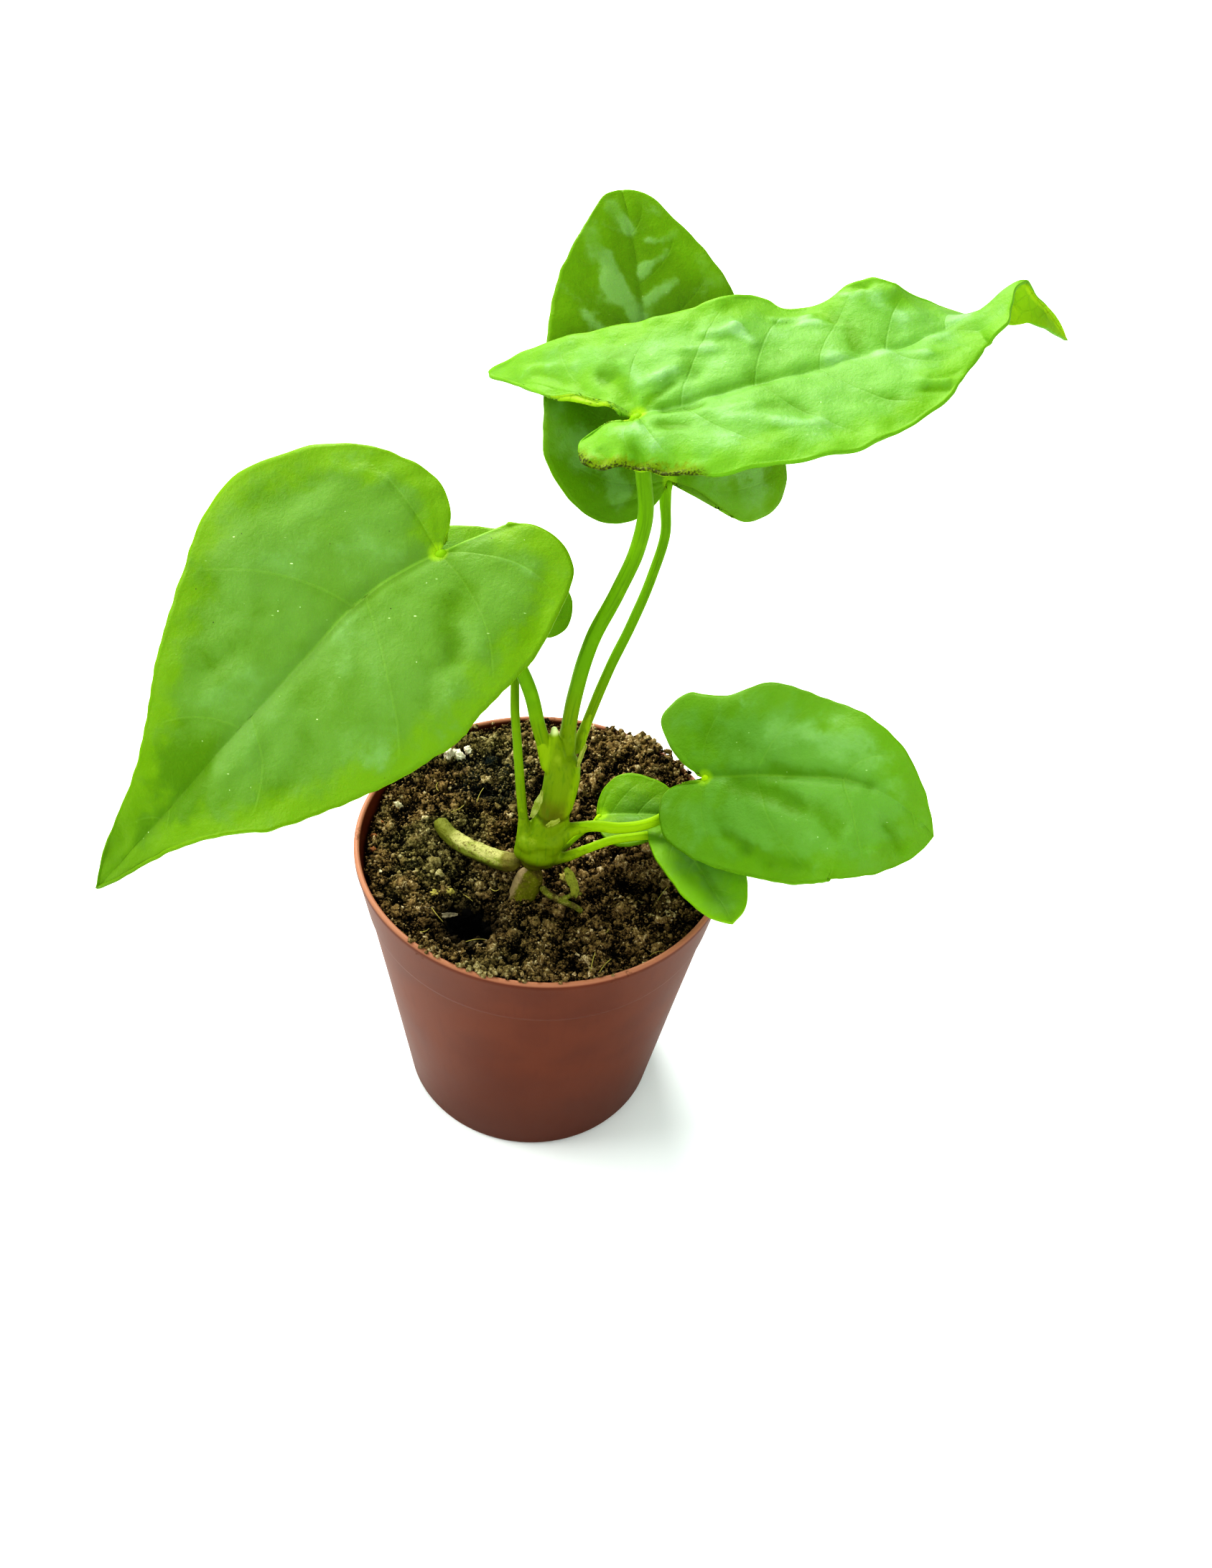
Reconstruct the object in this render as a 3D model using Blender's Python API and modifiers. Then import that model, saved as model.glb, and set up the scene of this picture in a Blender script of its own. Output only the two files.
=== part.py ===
"""A young queen anthurium in a small nursery pot: pot, soil, stem, seven petioles and seven blades.

The model stands on its base at z = 0, with +Z up and the pot's axis through the origin.
Sizes are written in millimetres and become metres where a mesh is made.
"""

import math
import random

import bmesh
import bpy
from mathutils import Vector
from mathutils.noise import noise

MM = 0.001
SEAT_GAP = 0.3          # clearance between pieces that touch on the real plant

# Pot
POT_HEIGHT = 50.0
RIM_RADIUS = 27.5
BASE_RADIUS = 20.0
WALL = 0.85
FLOOR = 1.2
BAND_HEIGHT = 9.5       # the band under the lip
BAND_STEP = 0.35
LIP_ROUND = 0.3         # how far the lip's edges are taken off
FLOOR_ROUND = 0.8       # the same for the corner between wall and floor
FOOT_ROUND = 0.7        # and for the pot's foot
POT_SECTORS = 56
DRAIN_HOLES = 6
DRAIN_RADIUS = 1.8
DRAIN_CIRCLE = 13.5

# Soil
SOIL_LEVEL = 47.4
SOIL_BOTTOM = 2.0
SOIL_RINGS = 20
SOIL_SECTORS = 60
SOIL_CLIMB = 0.085      # how fast the surface climbs towards the back wall
CLODS = ((0.7, 0.16, (0, 0, 0)), (0.55, 0.45, (7, 3, 1)))   # height, waves in a millimetre, shift
CRUMB = 0.35            # how far a crumb lifts or shifts the soil's surface
PIT = (-7.9, -15.0)     # centre of the hollow in front of the stem
PIT_RADIUS = 4.2
PIT_DEPTH = 3.6
HEAP_X = -4             # the soil is heaped against the front wall around here
HEAP_WIDTH = 11
HEAP_START = -14
HEAP_HEIGHT = 1.3
BACK_HEAP = (15, 20)    # the soil is heaped higher there, against the back wall
BACK_HEAP_WIDTH = 9
BACK_HEAP_HEIGHT = 1.5

BLADE_THICKNESS = 0.7
FAN_SHARE = 0.38        # share of a half's rays that fan out from the petiole over its basal lobe
FAN_END = 3.0           # how far past the petiole the fan reaches on the margin
MARGIN_CHECKS = 200     # places tried along a margin to find where its basal lobe ends

# A blade has flat coordinates: p runs from the petiole's attachment towards the tip, and q away
# from the midrib. Each half margin is a list of (p, q), from the inner corner of its basal lobe
# round to the tip, which the code adds. The midrib is a curve in space. The roll turns the blade
# about its midrib, fold lifts a half from it, curl bends the half across, and lobe bends the basal
# lobe down.
# A value may change along the midrib, as a list of (share of the midrib, value).
# A bump is (half, p, q, height, radius).
BLADES = {
    "blade_left": {
        "midrib": [(-14, -8, 104), (-20, -11, 101), (-30.5, -18, 91), (-39, -24, 82), (-54, -30, 63.5)],
        "left": [(-9, 0), (-13.4, 4.9), (-13.7, 8.3), (-9.4, 13.3), (-4.2, 17.2), (5, 19.8),
                 (11.6, 20.6), (18, 19.6), (24.2, 17.6), (33, 13.9), (37, 11.7), (41, 8.5), (46, 5.4),
                 (52.6, 3), (58.5, 1.3)],
        "right": [(-1.5, 1), (-3.9, 6.7), (-3.1, 9.9), (-1, 12.6), (3.2, 17.2), (8.5, 20.4), (12, 21.7),
                  (15.2, 21.2), (21.3, 19.1), (29.9, 14.6), (38.4, 10.2), (45, 6.5), (53, 4), (58, 2.4)],
        "roll": -30, "fold": (8, 8), "curl": (-12, -12), "lobe": (10, 100),
        "bumps": [("left", 14, 12, 0.8, 6), ("left", 30, 9, -0.6, 6), ("right", 16, 12, 0.7, 7)],
        "rays": 30, "steps": 5, "colour": (0.16, 0.42, 0.05),
    },
    "blade_back_left": {
        "midrib": [(-5, 4, 86), (-13, 8, 89.5), (-22, 12, 90)],
        "left": [(-1, 0.5), (-4, 1.5), (-5, 4.1), (-4.4, 7), (0.8, 8.9), (8.2, 9), (14.5, 6.2),
                 (18.4, 2.6)],
        "right": [(-1, 0.5), (-4, 1.4), (-4.7, 4), (-3.4, 6.6), (0.9, 8.7), (8, 9.2), (12.5, 7.2),
                  (18.4, 2.5)],
        "roll": -15, "fold": (10, 10), "curl": (-15, -15), "lobe": (20, 20),
        "bumps": [], "rays": 18, "steps": 4, "colour": (0.2, 0.48, 0.08),
    },
    "blade_top": {
        "midrib": [(7.5, 2, 119), (17.5, 4, 122), (28, 7.5, 124), (39, 11, 127), (44.5, 14, 128.8),
                   (46.5, 14.6, 130.3), (48.7, 16, 132), (50.3, 17.2, 132.5), (52.9, 19, 130.1),
                   (59.1, 22, 123.8)],
        "left": [(-2, 1), (-6.2, 5.9), (-10.7, 8.4), (-14, 13), (-18, 18.4), (-10.2, 17.6), (0.8, 15.4),
                 (9.6, 14.5), (15, 14.3), (19.1, 14.9), (20.6, 14.2), (21.7, 12.8), (23.6, 12.3),
                 (26.6, 11.8), (28.2, 12), (29.7, 12.2), (32, 11.1), (34.4, 9.4), (35.9, 8.1),
                 (38.6, 7.2), (40.6, 7), (42.8, 6.8), (45.5, 6.6), (48.5, 5.8), (51, 4.5), (52.5, 3.1),
                 (55.2, 2.4)],
        "right": [(-2, 0.4), (-5.1, 0.2), (-6.8, 1.2), (-7.5, 3.2), (-7, 5.4), (-5.1, 7), (-2.4, 7.6),
                  (-0.1, 8.6), (2.3, 10.3), (4.3, 11.5), (12.2, 13.5), (19.5, 14.6), (25.2, 14.1),
                  (30, 12.2), (32.4, 10.8), (34.8, 8.3), (37.9, 6.5), (40.6, 6), (42.7, 5.4),
                  (44.3, 3.1), (47.3, 0.8), (51.3, 0.3), (55.5, 0.5), (58.6, 0.5)],
        "roll": [(0, 8), (0.66, 4), (0.8, -25), (0.9, -80)],
        "fold": ([(0, 8), (0.585, 8), (0.64, -10), (0.69, -50), (0.85, -60)], 5),
        "curl": (-8, [(-0.1, -60), (0.05, -40), (0.2, -15)]), "lobe": (20, 20),
        "bumps": [("left", 15, 14, 1.0, 5), ("left", 24, 14, -1.5, 4.5), ("left", 35.5, 11.5, 2.0, 5.5)],
        "rays": 34, "steps": 5, "colour": (0.35, 0.68, 0.2),
    },
    "blade_top_back": {
        "midrib": [(12.5, 17, 101.5), (7, 28, 119), (5, 34, 124.5), (2.5, 40, 129.5)],
        "left": [(-0.5, 0.5), (-3.3, 5), (-3.4, 9.3), (-0.8, 13.7), (5.3, 16.8), (12.1, 15.3),
                 (21.3, 12.6), (29.9, 8.7), (34.5, 5.2), (37.3, 2.6)],
        "right": [(-0.5, 0.5), (-1.7, 3.2), (-4.6, 6.5), (-8.2, 11.3), (-7.2, 17), (-2.7, 18.9),
                  (2, 17.7), (9.3, 16), (21.1, 13), (28, 9.8), (33.3, 6), (37.2, 2.8)],
        "roll": 0, "fold": (6, 6), "curl": (-10, -10), "lobe": (20, 20),
        "bumps": [("left", 12, 10, 0.6, 5), ("right", 14, 10, 0.6, 5)],
        "rays": 26, "steps": 4, "colour": (0.11, 0.33, 0.04),
    },
    "blade_right": {
        "midrib": [(21.5, -4, 69), (32.5, -8, 74.5), (42.5, -12, 77.5), (50.5, -16, 74)],
        "left": [(-1, 0.5), (-6, 5.8), (-7.4, 9), (-4.2, 12), (3.6, 11.2), (8, 12.8), (13.5, 11.6),
                 (20.8, 8.8), (27.2, 4.7)],
        "right": [(-1, 0.5), (-6.3, 2), (-6.4, 6.6), (-0.4, 11.5), (6.8, 13.5), (17, 14.1),
                  (27.1, 12.3), (31.8, 9.2), (34.1, 3)],
        "roll": 38, "fold": (6, 6), "curl": (-15, -15), "lobe": (20, 20),
        "bumps": [("right", 12, 7, 0.7, 5)],
        "rays": 26, "steps": 4, "colour": (0.13, 0.38, 0.05),
    },
    "blade_low_right": {
        "midrib": [(18, -4, 59), (22.5, -12, 59), (27, -20, 58)],
        "left": [(-0.5, 0.5), (-2.8, 2.2), (-2.4, 4.2), (-0.5, 5.5), (4.3, 6), (9, 5.9), (13.6, 4.7),
                 (17.2, 2.5)],
        "right": [(-0.5, 0.5), (-1.3, 2.4), (1, 4), (4, 4.7), (8, 4.7), (12.8, 4.1), (16.8, 2.2)],
        "roll": 10, "fold": (10, 10), "curl": (-10, -10), "lobe": (20, 20),
        "bumps": [], "rays": 16, "steps": 3, "colour": (0.14, 0.38, 0.06),
    },
    "blade_small": {
        "midrib": [(8, 1, 55), (14.5, 1, 56), (22, 1, 56)],
        "left": [(-0.5, 0.3), (0.6, 4.6), (2.8, 6.5), (7.3, 5.9), (11.1, 3.4)],
        "right": [(-0.5, 0.3), (0.7, 4.3), (2.9, 6.2), (7.3, 5.2), (11, 3)],
        "roll": 10, "fold": (10, 10), "curl": (-10, -10), "lobe": (20, 20),
        "bumps": [], "rays": 14, "steps": 3, "colour": (0.2, 0.46, 0.08),
    },
}

# Each petiole's route from its socket to its blade, with the radii at its two ends.
PETIOLES = {
    "petiole_left": ([(0.8, -4.3, 67.5), (0.1, -4.1, 70), (-1.4, -4.5, 76), (-2.5, -5, 81.5),
                      (-4, -5.5, 86), (-7, -6.2, 92), (-10.6, -6.9, 98.5),
                      (-13.2, -7.4, 102.6)], 1.0, 0.85),
    "petiole_back_left": ([(-2, -6.8, 56), (-2.6, -6.3, 60), (-3.2, -5.5, 64.5), (-4, -4, 71),
                           (-4.8, -1.8, 76.5), (-5.1, 0.4, 80), (-5.1, 2.6, 82.8),
                           (-5.2, 3.7, 84.4)], 0.7, 0.55),
    "petiole_top": ([(2.4, -2.8, 69), (2.5, -2.5, 71.5), (2.7, -2, 75.5), (3.2, -1.5, 80),
                     (4.8, -0.5, 88), (7.4, 0.5, 95), (9.3, 1, 101.5), (9.8, 1.5, 106), (9, 1.6, 111.5),
                     (7.7, 1.9, 118.05)], 1.05, 0.95),
    "petiole_top_back": ([(3.9, -1.3, 68.6), (4.3, -0.6, 70.6), (5.3, 1, 74), (7.2, 4, 79.5),
                          (9.6, 8, 84.5), (11.7, 12, 90), (12.8, 14.5, 95),
                          (12.3, 17.1, 100.2)], 0.7, 0.68),
    "petiole_right": ([(1.4, -6.2, 57.4), (3.5, -6.5, 58.6), (7, -6.5, 60), (11, -6.3, 60),
                       (15.4, -5.3, 60.8), (19.1, -4, 63.7), (22.1, -3.4, 67.8)], 0.85, 0.65),
    "petiole_low_right": ([(1.4, -7.5, 53.4), (3.5, -7.5, 54.2), (6.5, -7, 55.8), (10, -6, 57.1),
                           (14, -5, 57.5), (17.2, -4, 57.6)], 0.68, 0.55),
    "petiole_small": ([(1.7, -6.4, 53), (3, -5.4, 53.6), (4.4, -4, 54.4), (5.8, -2, 54.4),
                       (7.3, 0.3, 53.7)], 0.55, 0.45),
}
PETIOLE_COLOUR = (0.38, 0.6, 0.06)
TALL_COLOUR = (0.27, 0.46, 0.06)

STEM_ROUTE = [(-3.4, -9.6, 40), (-2.4, -9, 45), (-1.6, -8.5, 48), (-1, -8, 50), (-0.8, -7.6, 51.6)]
STEM_RADII = [1.7, 2.2, 2.3, 2, 1.8]
SHEATH_ROUTE = [(0, -6.8, 54), (0.5, -6.2, 57), (1.8, -5, 62.5), (2.3, -4, 67), (2.2, -3, 70.3)]
SHEATH_RADII = [2.6, 2.65, 2.6, 2.6, 2.3]
CROWN_KNOBS = [((-0.2, -7.0, 54.2), (3.1, 2.9, 2.6)), ((0.9, -6.6, 57.4), (2.9, 2.7, 1.5)),
               ((-1.1, -7.5, 56.2), (2.1, 1.9, 1.9)), ((-0.5, -7.5, 52.2), (2.3, 2.1, 1.8))]
BUD_ROUTE = [(1.9, -4.6, 67.2), (1.3, -4.2, 71), (0.7, -3.6, 75.1)]
BUD_RADII = [1.3, 1.2, 0.35]
STUB_ROUTE = [(-2.8, -6.8, 51.6), (-5.4, -5.8, 50.4), (-8.2, -4.3, 49.9), (-11, -2.9, 49.7),
              (-13.4, -1.6, 50), (-15.6, 1.2, 50.6)]
STUB_RADII = [1.3, 1.4, 1.35, 1.3, 1.25, 1.2]
ROOT_ROUTE = [(0.6, -9.4, 49.8), (2, -10.3, 49.2), (3.9, -10.9, 48.8), (6, -11.3, 48.2),
              (7.6, -11.6, 46.4)]
ROOT_RADII = [0.5, 0.55, 0.5, 0.45, 0.35]


def clear_scene():
    for obj in list(bpy.data.objects):
        bpy.data.objects.remove(obj, do_unlink=True)


def new_collection(name):
    made = bpy.data.collections.new(name)
    bpy.context.scene.collection.children.link(made)
    return made


def material(name, colour, roughness):
    made = bpy.data.materials.new(name)
    made.use_nodes = True
    shader = made.node_tree.nodes["Principled BSDF"]
    shader.inputs["Base Color"].default_value = (*colour, 1)
    shader.inputs["Roughness"].default_value = roughness
    shader.inputs["Metallic"].default_value = 0
    return made


def add_mesh(name, mesh, collection, look=None):
    obj = bpy.data.objects.new(name, mesh)
    collection.objects.link(obj)
    if look is not None:
        mesh.materials.clear()
        mesh.materials.append(look)
    return obj


def as_cutter(obj):
    obj.hide_render = True
    obj.display_type = "WIRE"
    return obj


def baked(obj):
    """The object with its curve or modifiers turned into a plain, welded mesh."""
    bpy.context.view_layer.update()
    graph = bpy.context.evaluated_depsgraph_get()
    mesh = bpy.data.meshes.new_from_object(obj.evaluated_get(graph))
    work = bmesh.new()
    work.from_mesh(mesh)
    bmesh.ops.remove_doubles(work, verts=work.verts, dist=1e-6)
    bmesh.ops.recalc_face_normals(work, faces=work.faces)
    work.to_mesh(mesh)
    work.free()
    made = bpy.data.objects.new(obj.name, mesh)
    made.matrix_world = obj.matrix_world
    obj.users_collection[0].objects.link(made)
    name = obj.name
    bpy.data.objects.remove(obj, do_unlink=True)
    made.name = name
    return made


def boolean(obj, other, operation="DIFFERENCE"):
    made = obj.modifiers.new(other.name, "BOOLEAN")
    made.operation = operation
    made.solver = "EXACT"
    made.object = other


def curve_slopes(points):
    """Knot distances and slopes of a smooth curve through the points."""
    points = [Vector(point) for point in points]
    knots = [0.0]
    for first, second in zip(points, points[1:]):
        knots.append(knots[-1] + (second - first).length)
    legs = [(b - a) / (t - s) for a, b, s, t in zip(points, points[1:], knots, knots[1:])]
    slopes = [legs[0]]
    for i in range(1, len(points) - 1):
        before, after = knots[i] - knots[i - 1], knots[i + 1] - knots[i]
        slopes.append((legs[i - 1] * after + legs[i] * before) / (before + after))
    slopes.append(legs[-1])
    if len(points) > 2:
        slopes[0] = 2 * slopes[0] - slopes[1]
        slopes[-1] = 2 * slopes[-1] - slopes[-2]
    return points, knots, slopes


def curve_point(curve, distance):
    """The point and unit tangent at a distance along the curve; it runs on straight past its end."""
    points, knots, slopes = curve
    clamped = min(max(distance, 0.0), knots[-1])
    i = 0
    while i < len(knots) - 2 and knots[i + 1] <= clamped:
        i += 1
    span = knots[i + 1] - knots[i]
    t = (clamped - knots[i]) / span
    place = ((2 * t**3 - 3 * t**2 + 1) * points[i] + (t**3 - 2 * t**2 + t) * span * slopes[i]
             + (3 * t**2 - 2 * t**3) * points[i + 1] + (t**3 - t**2) * span * slopes[i + 1])
    tangent = ((6 * t**2 - 6 * t) / span * (points[i] - points[i + 1])
               + (3 * t**2 - 4 * t + 1) * slopes[i] + (3 * t**2 - 2 * t) * slopes[i + 1])
    tangent.normalize()
    return place + (distance - clamped) * tangent, tangent


def at_share(value, share):
    """A number, or the value at this share of a list of (share, value)."""
    if isinstance(value, (int, float)):
        return value
    if share <= value[0][0]:
        return value[0][1]
    for (low, first), (high, second) in zip(value, value[1:]):
        if share <= high:
            return first + (second - first) * (share - low) / (high - low)
    return value[-1][1]


def tube(name, route, radii, collection, spacing=2.2, sides=8, grow=0.0):
    """A round stem along a smooth route, with a radius that changes from end to end."""
    path = curve_slopes(route)
    length = path[1][-1]
    count = max(3, round(length / spacing))
    data = bpy.data.curves.new(name, "CURVE")
    data.dimensions = "3D"
    data.bevel_depth = MM
    data.bevel_resolution = (sides - 4) // 2
    data.use_fill_caps = True
    spline = data.splines.new("POLY")
    spline.points.add(count)
    stops = [i / (len(radii) - 1) for i in range(len(radii))]
    for i, point in enumerate(spline.points):
        share = i / count
        place, _ = curve_point(path, share * length)
        point.co = (*(place * MM), 1)
        point.radius = at_share(list(zip(stops, radii)), share) + grow
    obj = bpy.data.objects.new(name, data)
    collection.objects.link(obj)
    return baked(obj)


def ball(name, centre, radii, collection):
    work = bmesh.new()
    bmesh.ops.create_icosphere(work, subdivisions=2, radius=1)
    for vertex in work.verts:
        vertex.co = Vector([(c + v * r) * MM for c, v, r in zip(centre, vertex.co, radii)])
    mesh = bpy.data.meshes.new(name)
    work.to_mesh(mesh)
    work.free()
    return add_mesh(name, mesh, collection)


def fused(base, others):
    """One body made of the base and all the others."""
    for other in others:
        boolean(base, other, "UNION")
    made = baked(base)
    for other in others:
        bpy.data.objects.remove(other, do_unlink=True)
    return made


def wall_radius(z):
    """Outer radius of the pot's wall below its band."""
    top = RIM_RADIUS - BAND_STEP
    return BASE_RADIUS + (top - BASE_RADIUS) * z / POT_HEIGHT


def build_pot(collection, cutters):
    """A turned, tapered pot with a plain lip, a shallow band under it, and drain holes."""
    band_foot = POT_HEIGHT - BAND_HEIGHT
    profile = [
        (0, FLOOR),
        (wall_radius(FLOOR) - WALL - FLOOR_ROUND, FLOOR),
        (wall_radius(FLOOR) - WALL, FLOOR + FLOOR_ROUND),
        (wall_radius(band_foot) - WALL, band_foot),
        (RIM_RADIUS - WALL, POT_HEIGHT - LIP_ROUND),
        (RIM_RADIUS - WALL + LIP_ROUND, POT_HEIGHT),
        (RIM_RADIUS - LIP_ROUND, POT_HEIGHT),
        (RIM_RADIUS, POT_HEIGHT - LIP_ROUND),
        (wall_radius(band_foot) + BAND_STEP, band_foot + LIP_ROUND),
        (wall_radius(band_foot), band_foot - LIP_ROUND),
        (wall_radius(FOOT_ROUND), FOOT_ROUND),
        (BASE_RADIUS - FOOT_ROUND, 0),
        (0, 0),
    ]
    mesh = bpy.data.meshes.new("pot")
    points = [(r * MM, 0, z * MM) for r, z in profile]
    mesh.from_pydata(points, [(i, i + 1) for i in range(len(points) - 1)], [])
    pot = add_mesh("pot", mesh, collection)
    turn = pot.modifiers.new("turn", "SCREW")
    turn.steps = POT_SECTORS
    turn.render_steps = POT_SECTORS
    turn.use_merge_vertices = True
    turn.merge_threshold = 0.00001
    pot = baked(pot)
    for i in range(DRAIN_HOLES):
        angle = 2 * math.pi * i / DRAIN_HOLES
        centre = Vector((DRAIN_CIRCLE * math.cos(angle), DRAIN_CIRCLE * math.sin(angle), FLOOR / 2)) * MM
        bpy.ops.mesh.primitive_cylinder_add(vertices=16, radius=DRAIN_RADIUS * MM,
                                            depth=5 * FLOOR * MM, location=centre)
        hole = bpy.context.object
        hole.name = f"drain_hole_{i + 1}"
        for owner in list(hole.users_collection):
            owner.objects.unlink(hole)
        cutters.objects.link(as_cutter(hole))
        boolean(pot, hole)
    pot.data.materials.clear()
    pot.data.materials.append(material("pot_plastic", (0.26, 0.085, 0.045), 0.5))
    return pot


def soil_height(x, y):
    """Clods of the soil's surface, with the pit, the climb to the back wall and two heaps."""
    height = SOIL_LEVEL + SOIL_CLIMB * max(y, 0)
    for swell, waves, shift in CLODS:
        height += swell * noise(Vector((x, y, 0)) * waves + Vector(shift))
    radius = math.hypot(x - PIT[0], y - PIT[1]) / PIT_RADIUS
    height -= PIT_DEPTH * math.exp(-radius**2)
    heaped = math.exp(-((x - HEAP_X) / HEAP_WIDTH) ** 2) * max(0.0, HEAP_START - y) / HEAP_WIDTH
    back = math.hypot(x - BACK_HEAP[0], y - BACK_HEAP[1]) / BACK_HEAP_WIDTH
    return height + HEAP_HEIGHT * heaped + BACK_HEAP_HEIGHT * math.exp(-back**2)


def build_soil(collection):
    """A plug of soil that fills the pot, with a relief of clods on top."""
    work = bmesh.new()
    crumbs = random.Random(4)
    rows = []
    edge = wall_radius(SOIL_LEVEL) - WALL - SEAT_GAP
    middle = work.verts.new(Vector((0, 0, soil_height(0, 0))) * MM)
    for ring in range(1, SOIL_RINGS + 1):
        row = []
        for sector in range(SOIL_SECTORS):
            angle = 2 * math.pi * (sector + 0.5 * (ring % 2)) / SOIL_SECTORS
            loose = CRUMB * min(1, ring / 5) if ring < SOIL_RINGS else 0
            radius = edge * ring / SOIL_RINGS + loose * crumbs.uniform(-1, 1)
            x, y = radius * math.cos(angle), radius * math.sin(angle)
            z = soil_height(x, y) + loose * crumbs.uniform(-1, 1)
            row.append(work.verts.new(Vector((x, y, z)) * MM))
        rows.append(row)
    foot = wall_radius(SOIL_BOTTOM) - WALL - SEAT_GAP
    row = []
    for sector in range(SOIL_SECTORS):
        angle = 2 * math.pi * sector / SOIL_SECTORS
        corner = Vector((foot * math.cos(angle), foot * math.sin(angle), SOIL_BOTTOM))
        row.append(work.verts.new(corner * MM))
    rows.append(row)
    for i in range(SOIL_SECTORS):
        j = (i + 1) % SOIL_SECTORS
        work.faces.new((middle, rows[0][i], rows[0][j]))
    for number, (inner, outer) in enumerate(zip(rows, rows[1:]), 1):
        for i in range(SOIL_SECTORS):
            j = (i + 1) % SOIL_SECTORS
            if number % 2:
                work.faces.new((inner[i], outer[i], outer[j]))
                work.faces.new((inner[i], outer[j], inner[j]))
            else:
                work.faces.new((inner[i], outer[i], inner[j]))
                work.faces.new((inner[j], outer[i], outer[j]))
    work.faces.new(rows[-1][::-1])
    bmesh.ops.recalc_face_normals(work, faces=work.faces)
    mesh = bpy.data.meshes.new("soil")
    work.to_mesh(mesh)
    work.free()
    return add_mesh("soil", mesh, collection, material("soil_mix", (0.05, 0.032, 0.02), 0.95))


def blade_point(blade, curve, half, p, q):
    """A flat point (p, q) of one half of a blade, placed in space."""
    left = half == "left"
    side = 0 if left else 1
    sign = 1 if left else -1
    share = p / curve[1][-1]
    place, along = curve_point(curve, max(p, 0))
    normal = Vector((0, 0, 1)) - along.z * along
    normal.normalize()
    across = normal.cross(along)
    roll = math.radians(at_share(blade["roll"], share))
    across, normal = (across * math.cos(roll) + normal * math.sin(roll),
                      normal * math.cos(roll) - across * math.sin(roll))
    droop = blade["lobe"][side] / 1000
    behind = min(p, 0)
    place += along * math.sin(droop * behind) / droop
    place -= normal * (1 - math.cos(droop * behind)) / droop
    fold = math.radians(at_share(blade["fold"][side], share))
    curl = at_share(blade["curl"][side], share) / 1000
    out = (math.sin(fold + curl * q) - math.sin(fold)) / curl
    up = (math.cos(fold) - math.cos(fold + curl * q)) / curl
    for bump_half, bump_p, bump_q, height, radius in blade["bumps"]:
        bump_sign = 1 if bump_half == "left" else -1
        apart = (p - bump_p) ** 2 + (sign * q - bump_sign * bump_q) ** 2
        up += height * math.exp(-apart / radius**2)
    return place + sign * out * across + up * normal


def half_rays(blade, half, length):
    """Rays from the midrib to the margin, as side veins run: fanned over the lobe, then forward."""
    margin = curve_slopes([(p, q, 0) for p, q in blade[half]] + [(length, 0, 0)])
    reach = margin[1][-1]
    shares = [i / MARGIN_CHECKS for i in range(MARGIN_CHECKS // 10, MARGIN_CHECKS)]
    lobe_end = next(share for share in shares if curve_point(margin, reach * share)[0].x > FAN_END)
    fan = round(blade["rays"] * FAN_SHARE)
    rays = []
    for i in range(blade["rays"] + 1):
        forward = max(0, i - fan) / (blade["rays"] - fan)
        along = lobe_end * min(i / fan, 1) + (1 - lobe_end) * forward
        edge, _ = curve_point(margin, reach * along)
        root = length * forward
        rays.append([(root + (edge.x - root) * j / blade["steps"], edge.y * j / blade["steps"])
                     for j in range(blade["steps"] + 1)])
    return rays


def build_blade(name, collection):
    """One leaf blade: a thin bent sheet, split into the same triangles on both faces."""
    blade = BLADES[name]
    curve = curve_slopes(blade["midrib"])
    length = curve[1][-1]
    work = bmesh.new()
    for half in ("left", "right"):
        rays = half_rays(blade, half, length)
        grid = [[work.verts.new(blade_point(blade, curve, half, p, q) * MM) for p, q in ray]
                for ray in rays]
        for first, second in zip(grid, grid[1:]):
            for j in range(blade["steps"]):
                near = (first[j], first[j + 1], second[j + 1])
                far = (first[j], second[j + 1], second[j])
                for corners in (near, far):
                    work.faces.new(corners if half == "left" else corners[::-1])
    bmesh.ops.remove_doubles(work, verts=work.verts, dist=0.00002)
    bmesh.ops.dissolve_degenerate(work, edges=work.edges, dist=0.00002)
    mesh = bpy.data.meshes.new(name)
    work.to_mesh(mesh)
    work.free()
    obj = add_mesh(name, mesh, collection, material(name + "_green", blade["colour"], 0.42))
    shell = obj.modifiers.new("thickness", "SOLIDIFY")
    shell.thickness = BLADE_THICKNESS * MM
    shell.offset = 0
    return obj


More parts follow.
